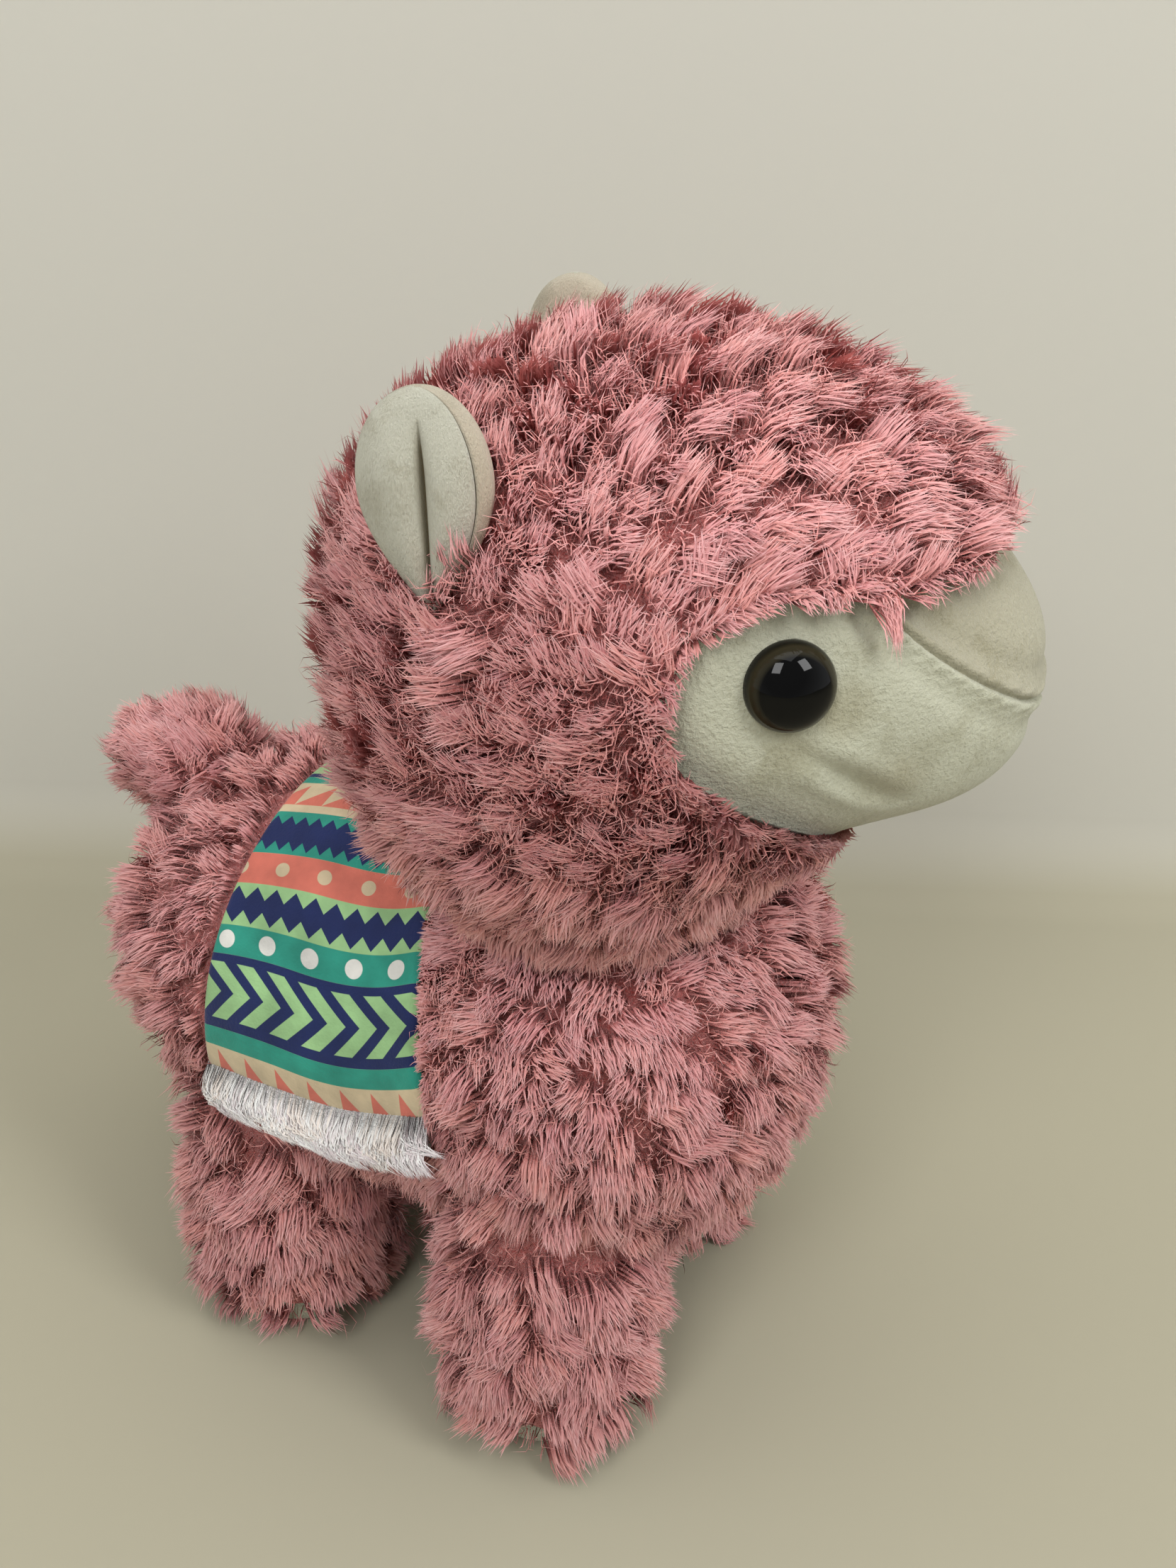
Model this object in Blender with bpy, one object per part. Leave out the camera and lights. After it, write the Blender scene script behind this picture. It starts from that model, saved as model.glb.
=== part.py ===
"""Plush llama: tufted pink fur, cream face, ears and feet, and a printed saddle blanket.

It faces -Y, +X is its left side and +Z is up. The soles stand on z = 0, and the box
around the whole toy is centred on the origin. Every size is in metres.
"""

import bpy
import bmesh
import numpy as np
from functools import lru_cache
from math import cos, pi, radians, sin, sqrt
from mathutils import Matrix, Vector

for thing in list(bpy.data.objects):
    bpy.data.objects.remove(thing, do_unlink=True)

# Fabrics and fits
FUR_DEPTH = 0.009
TUFT_RISE = 0.0048
TUFT_DIP = 0.0030
TUFT_LEAN = 0.0040
BARE_REACH = 0.014
MINKY_DEPTH = 0.0030
SEAM_GAP = 0.0003
SEED = 7

# How finely the fur and the hidden surfaces are faceted
HEAD_POINTS = 560
BODY_POINTS = 550
LEG_SEGMENTS = 14
TAIL_POINTS = 110
SKIN_POINTS = 140
FACE_POINTS = 320
ROUND_SEGMENTS = 12

# Body
CHEST_WIDTH = 0.124
CHEST_LENGTH = 0.104
CHEST_HEIGHT = 0.128
CHEST_FORWARD = 0.032
RUMP_WIDTH = 0.120
RUMP_LENGTH = 0.150
RUMP_HEIGHT = 0.110
RUMP_BACK = 0.037
BELLY_CLEARANCE = 0.044
RUMP_LIFT = 0.000
BODY_BLEND = 0.022
NECK_SINK = 0.016

# Head
SKULL_WIDTH = 0.130
SKULL_LENGTH = 0.152
SKULL_HEIGHT = 0.115
JOWL_WIDTH = 0.126
JOWL_LENGTH = 0.124
JOWL_HEIGHT = 0.112
JOWL_DROP = 0.026
JOWL_BACK = 0.012
HEAD_BLEND = 0.010
HEAD_FORWARD = 0.035
HEAD_TURN = radians(11)
HEAD_TILT = radians(3)
SNOUT_WIDTH = 0.062
SNOUT_LENGTH = 0.074
SNOUT_HEIGHT = 0.052
SNOUT_FORWARD = 0.047
SNOUT_LIFT = 0.004
SNOUT_BLEND = 0.014

# Eyes
EYE_DIAMETER = 0.018
EYE_DOME = 0.0060
EYE_SINK = 0.0012
EYE_SIDE = radians(52)
EYE_LIFT = radians(17)
STEM_DIAMETER = 0.005
STEM_LENGTH = 0.011
WASHER_DIAMETER = 0.014
WASHER_DEPTH = 0.0018

# Ears
EAR_HEIGHT = 0.051
EAR_WIDTH = 0.0265
EAR_CUP = 0.0035
EAR_LOBE = 0.0030
EAR_CREASE = 0.0045
EAR_CLOTH = 0.0022
EAR_OPENING = 0.0030
EAR_SIDE = radians(122)
EAR_LIFT = radians(30)
EAR_SPLAY = radians(4)
EAR_FACING = radians(82)
EAR_ROOT = 0.018

# Legs and feet
LEG_FUR_DEPTH = 0.0085
LEG_INSET = 0.024
FRONT_LEG_FORWARD = 0.034
REAR_LEG_BACK = 0.046
LEG_RUN_IN = 0.055
FUR_HEM = 0.005
FOOT_DIAMETER = 0.038
FOOT_HEIGHT = 0.012
SOLE_CLOTH = 0.0025

# Tail
TAIL_WIDTH = 0.032
TAIL_LENGTH = 0.046
TAIL_HEIGHT = 0.026
TAIL_LIFT = radians(24)
TAIL_OUT = 0.012
TAIL_UP = -0.001

# Saddle blanket
BLANKET_LENGTH = 0.196
BLANKET_WIDTH = 0.067
BLANKET_SPINE_WIDTH = 0.046
BLANKET_CLOTH = 0.0022
BLANKET_REAR = 0.056
BLANKET_BED = 0.0050
BLANKET_EASE = 0.0009
TRIM_DROP = 0.012
TRIM_DEPTH = 0.0060

# Places worked out from the sizes above
chest_radii = np.array([CHEST_WIDTH, CHEST_LENGTH, CHEST_HEIGHT]) / 2
rump_radii = np.array([RUMP_WIDTH, RUMP_LENGTH, RUMP_HEIGHT]) / 2
skull_radii = np.array([SKULL_WIDTH, SKULL_LENGTH, SKULL_HEIGHT]) / 2
jowl_radii = np.array([JOWL_WIDTH, JOWL_LENGTH, JOWL_HEIGHT]) / 2
snout_radii = np.array([SNOUT_WIDTH, SNOUT_LENGTH, SNOUT_HEIGHT]) / 2
chest_centre = np.array([0, -CHEST_FORWARD, BELLY_CLEARANCE + CHEST_HEIGHT / 2])
rump_centre = np.array([0, RUMP_BACK, BELLY_CLEARANCE + RUMP_LIFT + RUMP_HEIGHT / 2])
neck_height = BELLY_CLEARANCE + CHEST_HEIGHT - NECK_SINK
head_centre = np.array([0, -HEAD_FORWARD, neck_height - NECK_SINK + (JOWL_HEIGHT + JOWL_DROP) / 2])
skull_centre = np.array([0, -JOWL_BACK / 2, JOWL_DROP / 2])
jowl_centre = -skull_centre
snout_centre = np.array([0, -SNOUT_FORWARD, SNOUT_LIFT])
body_middle = (chest_centre + rump_centre) / 2
girth_axis = rump_centre[2]


# Forms: each is below 0 inside and above 0 outside, in metres near its surface
def ellipsoid(points, centre, radii, power=2.0):
    scaled = np.abs((points - centre) / radii)
    return ((scaled ** power).sum(-1) ** (1 / power) - 1) * min(radii)


def blended(one, other, width):
    near = np.clip(0.5 + 0.5 * (other - one) / width, 0, 1)
    return other + (one - other) * near - width * near * (1 - near)


def body_form(points, grow=0.0):
    chest = ellipsoid(points, chest_centre, chest_radii + grow)
    rump = ellipsoid(points, rump_centre, rump_radii + grow)
    return blended(chest, rump, BODY_BLEND)


def head_fur_form(points, grow=0.0):
    skull = ellipsoid(points, skull_centre, skull_radii + grow)
    jowl = ellipsoid(points, jowl_centre, jowl_radii + grow)
    return blended(skull, jowl, HEAD_BLEND)


def head_skin_form(points, grow=0.0):
    snout = ellipsoid(points, snout_centre, snout_radii - MINKY_DEPTH + grow, 2.4)
    return blended(head_fur_form(points, grow - FUR_DEPTH), snout, SNOUT_BLEND)


def tail_form(points, grow=0.0):
    return ellipsoid(points, 0, np.array([TAIL_WIDTH, TAIL_LENGTH, TAIL_HEIGHT]) / 2 + grow)


# Meshes
def reach(form, middle, ways, grow=0.0):
    """Distance from the middle to the form's surface along each way."""
    low = np.zeros(len(ways))
    high = np.full(len(ways), 0.4)
    for _ in range(36):
        half = (low + high) / 2
        inside = form(middle + ways * half[:, None], grow) < 0
        low = np.where(inside, half, low)
        high = np.where(inside, high, half)
    return low


@lru_cache
def even_ways(count):
    """Evenly spread directions and the triangles between them."""
    steps = np.arange(count) + 0.5
    height = 1 - 2 * steps / count
    turn = steps * pi * (1 + sqrt(5))
    flat = np.sqrt(1 - height ** 2)
    ways = np.stack([flat * np.cos(turn), flat * np.sin(turn), height], -1)
    hull = bmesh.new()
    for way in ways:
        hull.verts.new(way)
    bmesh.ops.convex_hull(hull, input=hull.verts)
    hull.verts.index_update()
    faces = [[corner.index for corner in face.verts] for face in hull.faces]
    hull.free()
    outward = []
    for a, b, c in faces:
        facing = np.cross(ways[b] - ways[a], ways[c] - ways[a]) @ ways[a]
        outward.append((a, b, c) if facing > 0 else (a, c, b))
    return ways, outward


def smooth_ball(form, middle, count, grow=0.0):
    ways, faces = even_ways(count)
    return middle + ways * reach(form, middle, ways, grow)[:, None], faces


def tuft_tips(count, faces):
    """Scattered points of a surface, no two side by side, each the tip of a tuft."""
    beside = [set() for _ in range(count)]
    for face in faces:
        for point in face:
            beside[point].update(face)
    tips = np.zeros(count, bool)
    for point in np.random.default_rng(SEED).permutation(count):
        tips[point] = not any(tips[near] for near in beside[point])
    return tips


def tufted_ball(form, middle, count, lie, grow=0.0, bare=()):
    """A ball with tufts that lean along the lie, and none close to the bare places."""
    ways, faces = even_ways(count)
    random = np.random.default_rng(SEED).random(count)
    tips = tuft_tips(count, faces)
    size = reach(form, middle, ways)
    along = lie - (ways @ lie)[:, None] * ways
    lean = np.where(tips, TUFT_LEAN * random / size, 0)
    leaning = ways + along * lean[:, None]
    leaning /= np.linalg.norm(leaning, axis=1)[:, None]
    rise = np.where(tips, TUFT_RISE * (0.4 + 0.6 * random), -TUFT_DIP * random)
    for place in bare:
        apart = np.linalg.norm(ways * size[:, None] - place, axis=1)
        rise *= np.clip(apart / BARE_REACH - 0.5, 0, 1)
    return middle + leaning * (reach(form, middle, leaning) + rise + grow)[:, None], faces


def turned(profile, segments):
    """A solid of revolution about Z, from (radius, height) points that run upward.

    A profile that starts on the axis is capped at both ends, and any other is a ring."""
    capped = profile[0][0] == 0
    rings = [point for point in profile if point[0] > 0]
    angles = np.arange(segments) * 2 * pi / segments
    points = [(r * cos(a), r * sin(a), z) for r, z in rings for a in angles]
    faces = []
    for ring in range(len(rings) - capped):
        above = (ring + 1) % len(rings)
        for side in range(segments):
            ahead = (side + 1) % segments
            a, b = ring * segments + side, ring * segments + ahead
            d, e = above * segments + side, above * segments + ahead
            faces += [(a, b, e), (a, e, d)]
    if capped:
        points += [(0, 0, profile[0][1]), (0, 0, profile[-1][1])]
        foot, top = len(points) - 2, len(points) - 1
        last = (len(rings) - 1) * segments
        for side in range(segments):
            ahead = (side + 1) % segments
            faces += [(foot, ahead, side), (top, last + side, last + ahead)]
    return np.array(points), faces


def tufted_post(profile, segments):
    """A turned post with tufts that hang down."""
    points, faces = turned(profile, segments)
    count = len(points)
    random = np.random.default_rng(SEED).random(count)
    tips = tuft_tips(count, faces)
    out = np.linalg.norm(points[:, :2], axis=1)
    around = out > 0
    rise = np.where(tips, TUFT_RISE * (0.4 + 0.6 * random), -TUFT_DIP * random)
    points[around, :2] *= (1 + rise[around] / out[around])[:, None]
    points[:, 2] -= np.where(tips & around, TUFT_LEAN * random, 0)
    return points, faces


def slab(outer, inner):
    """A closed sheet between two grids of points, each rows x columns x 3."""
    rows, columns = outer.shape[:2]
    points = np.concatenate([outer.reshape(-1, 3), inner.reshape(-1, 3)])
    back = rows * columns
    faces = []
    for r in range(rows - 1):
        for c in range(columns - 1):
            a, b = r * columns + c, r * columns + c + 1
            d, e = a + columns, b + columns
            faces += [(a, b, e), (a, e, d)]
            faces += [(back + b, back + a, back + e), (back + e, back + a, back + d)]
    rim = [r * columns for r in range(rows)]
    rim += [(rows - 1) * columns + c for c in range(1, columns)]
    rim += [r * columns + columns - 1 for r in range(rows - 2, -1, -1)]
    rim += [c for c in range(columns - 2, 0, -1)]
    for a, b in zip(rim, rim[1:] + rim[:1]):
        faces += [(a, b, back + b), (a, back + b, back + a)]
    return points, faces


# Objects
def paint(name, colour, roughness):
    material = bpy.data.materials.new(name)
    material.use_nodes = True
    surface = material.node_tree.nodes["Principled BSDF"]
    surface.inputs["Base Color"].default_value = (*colour, 1)
    surface.inputs["Roughness"].default_value = roughness
    surface.inputs["Metallic"].default_value = 0
    material.diffuse_color = (*colour, 1)
    return material


PINK_FUR = paint("pink tufted fur", (0.50, 0.19, 0.19), 0.95)
CREAM_MINKY = paint("cream minky", (0.72, 0.70, 0.55), 0.9)
BEIGE_MINKY = paint("beige minky", (0.62, 0.58, 0.45), 0.9)
FILLING = paint("polyester filling", (0.85, 0.85, 0.85), 1.0)
BLACK_PLASTIC = paint("black eye plastic", (0.01, 0.01, 0.01), 0.08)
WHITE_PLASTIC = paint("white washer plastic", (0.8, 0.8, 0.8), 0.4)
WHITE_FUR = paint("white trim fur", (0.85, 0.85, 0.85), 0.95)
PRINTED_CLOTH = paint("printed blanket cloth", (0.03, 0.30, 0.24), 0.85)

llama = bpy.data.objects.new("llama", None)
bpy.context.collection.objects.link(llama)
head = bpy.data.objects.new("head", None)
bpy.context.collection.objects.link(head)
head.parent = llama
head.location = head_centre
head.rotation_euler = (0, HEAD_TILT, HEAD_TURN)


def piece(name, shape, material, parent=llama, place=(0, 0, 0)):
    points, faces = shape
    mesh = bpy.data.meshes.new(name)
    mesh.from_pydata([tuple(point) for point in points], [], faces)
    mesh.materials.append(material)
    mesh.shade_smooth()
    thing = bpy.data.objects.new(name, mesh)
    bpy.context.collection.objects.link(thing)
    thing.parent = parent
    thing.location = place
    return thing


def cutter(name, shape, parent=llama, place=(0, 0, 0)):
    thing = piece(name, shape, PINK_FUR, parent, place)
    thing.hide_render = True
    thing.display_type = "WIRE"
    return thing


def block(low, high):
    """A box between its lowest and highest corners."""
    x, y, z = zip(low, high)
    corners = [(a, b, c) for c in z for b in y for a in x]
    faces = [(0, 2, 3, 1), (4, 5, 7, 6), (0, 1, 5, 4), (2, 6, 7, 3), (0, 4, 6, 2), (1, 3, 7, 5)]
    return corners, faces


def cut(thing, *tools, keep_inside=False):
    for tool in tools:
        step = thing.modifiers.new(tool.name, "BOOLEAN")
        step.operation = "INTERSECT" if keep_inside else "DIFFERENCE"
        step.object = tool
        step.solver = "EXACT"


FAR = 0.5
half_gap = SEAM_GAP / 2
SIDES = {"left": 1, "right": -1}


def side_block(name, side, parent):
    """Everything across the middle seam from a left or right panel."""
    edge = half_gap * side
    far = -FAR * side
    return cutter(name, block((min(edge, far), -FAR, -FAR), (max(edge, far), FAR, FAR)), parent)


# Outlines on the head, as (side, lift) angles seen from its middle
def outline_cone(corners, grow):
    """A cone from the head's middle through a ring of (side, lift) angles."""
    ring = np.array(corners)
    centre = ring.mean(0)
    away = ring - centre
    ring = centre + away * (1 + grow / np.linalg.norm(away, axis=1))[:, None]
    side, lift = ring.T
    ways = np.stack([np.sin(side) * np.cos(lift), -np.cos(side) * np.cos(lift), np.sin(lift)], -1)
    points = np.concatenate([[[0, 0, 0]], ways * FAR, [[0, -FAR * 0.8, 0]]])
    count = len(ways)
    faces = []
    for this in range(count):
        ahead = (this + 1) % count
        faces += [(0, 1 + this, 1 + ahead), (count + 1, 1 + ahead, 1 + this)]
    return points, faces


def both_sides(half):
    """A mirrored ring from its right half, listed from the top middle to the bottom middle."""
    half = np.radians(half)
    return np.concatenate([half, half[-2:0:-1] * (-1, 1)])


FACE_EDGE = both_sides([(0, 27), (30, 26), (44, 28.5), (58, 29.5), (70, 24), (73.5, 13), (70, 3),
                        (58, -7), (42, -15), (20, -23), (0, -25)])
BRIDGE_EDGE = both_sides([(0, 30), (38, 29), (28.5, 18.5), (19, 10), (9, 4.5), (0, 3)])
seam_angle = SEAM_GAP / min(jowl_radii)


def from_nose(side, lift):
    return np.array([sin(side) * cos(lift), -cos(side) * cos(lift), sin(lift)])


# Head
ear_roots = {}
for name, side in SIDES.items():
    way = from_nose(EAR_SIDE * side, EAR_LIFT)
    ear_roots[name] = way * reach(head_fur_form, np.zeros(3), way[None])[0]
down = np.array([0, -0.4, -1.0])
head_fur = tufted_ball(head_fur_form, np.zeros(3), HEAD_POINTS, down, bare=ear_roots.values())
head_skin = smooth_ball(head_skin_form, np.zeros(3), SKIN_POINTS)
skin_cutter = cutter("head_skin_form", head_skin, head)
below_neck = cutter("below_neck", block((-FAR, -FAR, -FAR), (FAR, FAR, neck_height + half_gap)))
above_neck = cutter("above_neck", block((-FAR, -FAR, neck_height - half_gap), (FAR, FAR, FAR)))
face_opening = cutter("face_opening", outline_cone(FACE_EDGE, seam_angle), head)
face_region = cutter("face_region", outline_cone(FACE_EDGE, 0), head)
bridge_opening = cutter("bridge_opening", outline_cone(BRIDGE_EDGE, seam_angle), head)
bridge_region = cutter("bridge_region", outline_cone(BRIDGE_EDGE, 0), head)
head_halves = {name: side_block("head_beyond_" + name, side, head) for name, side in SIDES.items()}

head_panels = []
for name in SIDES:
    panel = piece("head_fur_" + name, head_fur, PINK_FUR, head)
    cut(panel, skin_cutter, face_opening, below_neck, head_halves[name])
    head_panels.append(panel)

head_filling = piece("head_filling", smooth_ball(head_skin_form, np.zeros(3), SKIN_POINTS, -SEAM_GAP),
                     FILLING, head)
cut(head_filling, below_neck)

# Face
face_cloth = smooth_ball(head_skin_form, np.zeros(3), FACE_POINTS, MINKY_DEPTH)
bridge = piece("nose_bridge", face_cloth, BEIGE_MINKY, head)
cut(bridge, skin_cutter)
cut(bridge, face_region, bridge_region, keep_inside=True)
cheeks = {}
for name in SIDES:
    cheek = piece("cheek_" + name, face_cloth, CREAM_MINKY, head)
    cut(cheek, skin_cutter)
    cut(cheek, face_region, keep_inside=True)
    cut(cheek, bridge_opening, head_halves[name])
    cheeks[name] = cheek

# Body
body_lie = np.array([0, 0.2, -1.0])
body_fur = tufted_ball(body_form, body_middle, BODY_POINTS, body_lie)
body_clearance = cutter("body_clearance", tufted_ball(body_form, body_middle, BODY_POINTS, body_lie, SEAM_GAP * 2))
body_skin = cutter("body_skin_form", smooth_ball(body_form, body_middle, SKIN_POINTS, -FUR_DEPTH))
body_panels = []
for name, side in SIDES.items():
    panel = piece("body_fur_" + name, body_fur, PINK_FUR)
    cut(panel, body_skin, above_neck, side_block("body_beyond_" + name, side, llama))
    body_panels.append(panel)
body_filling = piece("body_filling", smooth_ball(body_form, body_middle, SKIN_POINTS, -FUR_DEPTH - SEAM_GAP),
                     FILLING)
cut(body_filling, above_neck)

# Eyes
def surface_frame(form, way, grow=0.0):
    """Place and turn of a piece that stands on a form, with its Z along the outward normal."""
    point = way * reach(form, np.zeros(3), way[None], grow)[0]
    step = 0.0005
    slope = [form(point + nudge, grow) - form(point - nudge, grow) for nudge in np.eye(3) * step]
    normal = Vector(slope).normalized()
    turn = normal.to_track_quat("Z", "Y").to_matrix().to_4x4()
    return Matrix.Translation(point) @ turn


eye_radius = EYE_DIAMETER / 2
stem_radius = STEM_DIAMETER / 2
washer_radius = WASHER_DIAMETER / 2
cheek_radius = min(skull_radii) - FUR_DEPTH
facet_sink = 4 * pi * max(skull_radii) / (3 * sqrt(3) * SKIN_POINTS)
washer_top = -(MINKY_DEPTH + washer_radius ** 2 / (2 * cheek_radius) + facet_sink + SEAM_GAP)
washer_foot = washer_top - WASHER_DEPTH
dome = [(eye_radius * cos(a), EYE_DOME * sin(a)) for a in np.radians([0, 25, 50, 72])]
eye_shape = turned([(0, -STEM_LENGTH), (stem_radius, -STEM_LENGTH), (stem_radius, -EYE_SINK),
                    (eye_radius, -EYE_SINK)] + dome + [(0, EYE_DOME)], ROUND_SEGMENTS)
eye_hole = turned([(0, -STEM_LENGTH - SEAM_GAP), (stem_radius + SEAM_GAP, -STEM_LENGTH - SEAM_GAP),
                   (stem_radius + SEAM_GAP, -EYE_SINK - SEAM_GAP),
                   (eye_radius + SEAM_GAP, -EYE_SINK - SEAM_GAP),
                   (eye_radius + SEAM_GAP, FUR_DEPTH * 2), (0, FUR_DEPTH * 2)], ROUND_SEGMENTS)
washer_shape = turned([(stem_radius + SEAM_GAP, washer_foot), (washer_radius, washer_foot),
                       (washer_radius, washer_top), (stem_radius + SEAM_GAP, washer_top)], ROUND_SEGMENTS)
washer_room = turned([(0, -STEM_LENGTH - SEAM_GAP), (stem_radius + SEAM_GAP, -STEM_LENGTH - SEAM_GAP),
                      (stem_radius + SEAM_GAP, washer_foot - SEAM_GAP),
                      (washer_radius + SEAM_GAP, washer_foot - SEAM_GAP),
                      (washer_radius + SEAM_GAP, FUR_DEPTH * 2), (0, FUR_DEPTH * 2)], ROUND_SEGMENTS)
for name, side in SIDES.items():
    seat = surface_frame(head_skin_form, from_nose(EYE_SIDE * side, EYE_LIFT), MINKY_DEPTH)
    eye = piece("eye_" + name, eye_shape, BLACK_PLASTIC, head)
    washer = piece("eye_washer_" + name, washer_shape, WHITE_PLASTIC, head)
    hole = cutter("eye_hole_" + name, eye_hole, head)
    room = cutter("washer_room_" + name, washer_room, head)
    for thing in (eye, washer, hole, room):
        thing.matrix_local = seat
    cut(cheeks[name], hole)
    cut(head_filling, room)

# Ears
EAR_ROWS = 7
EAR_COLUMNS = 7
EAR_WAIST = 0.64
EAR_PINCH = 0.32


def ear_outline():
    """Height and half width of the ear's rows, from its pinched root to its round top."""
    low = np.linspace(0, EAR_WAIST, EAR_ROWS // 2, endpoint=False)
    narrow = EAR_PINCH + (1 - EAR_PINCH) * np.sin(pi / 2 * low / EAR_WAIST)
    turn = np.radians(np.linspace(0, 80, EAR_ROWS - len(low)))
    high = EAR_WAIST + (1 - EAR_WAIST) * np.sin(turn)
    return np.append(low, high), np.append(narrow, np.cos(turn))


def ear_surface(depth, bulge, margin=0.0):
    """A grid over the ear at a depth behind its front, swelling by bulge in its middle."""
    height, half_width = ear_outline()
    across = np.linspace(-1, 1, EAR_COLUMNS)
    full = half_width[:, None] ** 0.5
    lobes = EAR_LOBE * (1 - across ** 4) - EAR_CREASE * np.exp(-(across / 0.2) ** 2)
    front = lobes * full - depth + bulge * (1 - across ** 2) * full
    wide = across * (half_width[:, None] * EAR_WIDTH / 2 + margin)
    tall = np.repeat(height[:, None], EAR_COLUMNS, 1) * EAR_HEIGHT - EAR_ROOT
    return np.stack([wide, -front, tall], -1)


ear_front = slab(ear_surface(0, 0), ear_surface(EAR_CLOTH, 0))
back_depth = EAR_CLOTH + SEAM_GAP
ear_back = slab(ear_surface(back_depth, -EAR_CUP), ear_surface(back_depth + EAR_CLOTH, -EAR_CUP))
ear_room = slab(ear_surface(-EAR_OPENING, 0, SEAM_GAP),
                ear_surface(back_depth + EAR_CLOTH + SEAM_GAP, -EAR_CUP, SEAM_GAP))
skin_clearance = cutter("head_skin_clearance", smooth_ball(head_skin_form, np.zeros(3), SKIN_POINTS, SEAM_GAP), head)
for name, side in SIDES.items():
    root = ear_roots[name]
    for panel, shape, material in (("front", ear_front, CREAM_MINKY), ("back", ear_back, BEIGE_MINKY)):
        ear = piece(f"ear_{panel}_{name}", shape, material, head, root)
        ear.rotation_euler = (0, EAR_SPLAY * side, EAR_FACING * side)
        cut(ear, skin_clearance)
    room = cutter("ear_room_" + name, ear_room, head, root)
    room.rotation_euler = ear.rotation_euler
    for panel in head_panels:
        cut(panel, room)

# Legs and feet
foot_radius = FOOT_DIAMETER / 2
filling_radius = foot_radius - SOLE_CLOTH - SEAM_GAP
leg_radius = foot_radius + LEG_FUR_DEPTH
leg_top = BELLY_CLEARANCE + LEG_RUN_IN
leg_taper = [(0.19, 1.0), (0.34, 1.0), (0.49, 0.96), (0.62, 0.82), (0.74, 0.60), (0.86, 0.45)]
leg_fur = tufted_post([(0, FUR_HEM), (leg_radius - FUR_HEM / 2, FUR_HEM)]
                      + [(leg_radius * wide, leg_top * high) for high, wide in leg_taper]
                      + [(0, leg_top)], LEG_SEGMENTS)
bore_radius = filling_radius + SEAM_GAP
leg_bore = turned([(0, -FUR_HEM), (foot_radius + SEAM_GAP, -FUR_HEM),
                   (foot_radius + SEAM_GAP, FOOT_HEIGHT + SEAM_GAP),
                   (bore_radius, FOOT_HEIGHT + SEAM_GAP), (bore_radius, leg_top * 2), (0, leg_top * 2)], ROUND_SEGMENTS)
foot_shape = turned([(0, 0), (foot_radius - SOLE_CLOTH, 0), (foot_radius, SOLE_CLOTH),
                     (foot_radius, FOOT_HEIGHT), (foot_radius - SOLE_CLOTH, FOOT_HEIGHT),
                     (foot_radius - SOLE_CLOTH, SOLE_CLOTH), (0, SOLE_CLOTH)], ROUND_SEGMENTS)
leg_stuffing = turned([(0, SOLE_CLOTH + SEAM_GAP), (filling_radius, SOLE_CLOTH + SEAM_GAP),
                       (filling_radius, leg_top), (0, leg_top)], ROUND_SEGMENTS)
front_spread = CHEST_WIDTH / 2 - LEG_INSET
rear_spread = RUMP_WIDTH / 2 - LEG_INSET
for end, spread, y in (("front", front_spread, -FRONT_LEG_FORWARD), ("rear", rear_spread, REAR_LEG_BACK)):
    for name, side in SIDES.items():
        place = (spread * side, y, 0)
        bore = cutter(f"leg_bore_{end}_{name}", leg_bore, llama, place)
        panel = piece(f"leg_fur_{end}_{name}", leg_fur, PINK_FUR, llama, place)
        cut(panel, bore, body_clearance)
        cut(piece(f"leg_filling_{end}_{name}", leg_stuffing, FILLING, llama, place), body_clearance)
        piece(f"foot_{end}_{name}", foot_shape, CREAM_MINKY, llama, place)

# Tail
tail_way = np.array([0, cos(TAIL_LIFT), sin(TAIL_LIFT)])
tail_root = body_middle + tail_way * reach(body_form, body_middle, tail_way[None])[0]
tail = piece("tail", tufted_ball(tail_form, np.zeros(3), TAIL_POINTS, np.array([0, 1.0, 0.2])), PINK_FUR,
             llama, tail_root + np.array([0, TAIL_OUT, TAIL_UP]))
cut(tail, body_clearance)

# Saddle blanket
BLANKET_ROWS = 19
BLANKET_STEPS = 6


def girth_points(stretch, shares, grow):
    """Points on the body at stretches around it from the spine, from the rear edge to the front."""
    taper = np.clip(np.abs(stretch) / (BLANKET_LENGTH / 2), 0, 1)
    width = BLANKET_SPINE_WIDTH + (BLANKET_WIDTH - BLANKET_SPINE_WIDTH) * taper
    y = BLANKET_REAR - np.outer(shares, width)
    swing = np.radians(np.linspace(-150, 150, 101))
    ways = np.stack([np.sin(swing), np.zeros(101), np.cos(swing)], -1)
    middle = np.stack([np.zeros(y.shape), y, np.full(y.shape, girth_axis)], -1)
    rings = np.repeat(middle[..., None, :], 101, axis=-2).reshape(-1, 3)
    around = np.tile(ways, (y.size, 1))
    rings = (rings + around * reach(body_form, rings, around)[:, None]).reshape(*y.shape, 101, 3)
    length = np.linalg.norm(np.diff(rings, axis=-2), axis=-1).cumsum(-1)
    length = np.concatenate([np.zeros((*y.shape, 1)), length], -1)
    length -= length[..., 50:51]
    angle = np.array([[np.interp(stretch[c], length[r, c], swing) for c in range(len(stretch))]
                      for r in range(len(shares))])
    there = np.stack([np.sin(angle), np.zeros(angle.shape), np.cos(angle)], -1)
    out = reach(body_form, middle.reshape(-1, 3), there.reshape(-1, 3), grow)
    return middle + there * out.reshape(*y.shape, 1)


def cloth(stretch, shares, low, high):
    return slab(girth_points(stretch, shares, high), girth_points(stretch, shares, low))


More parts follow.
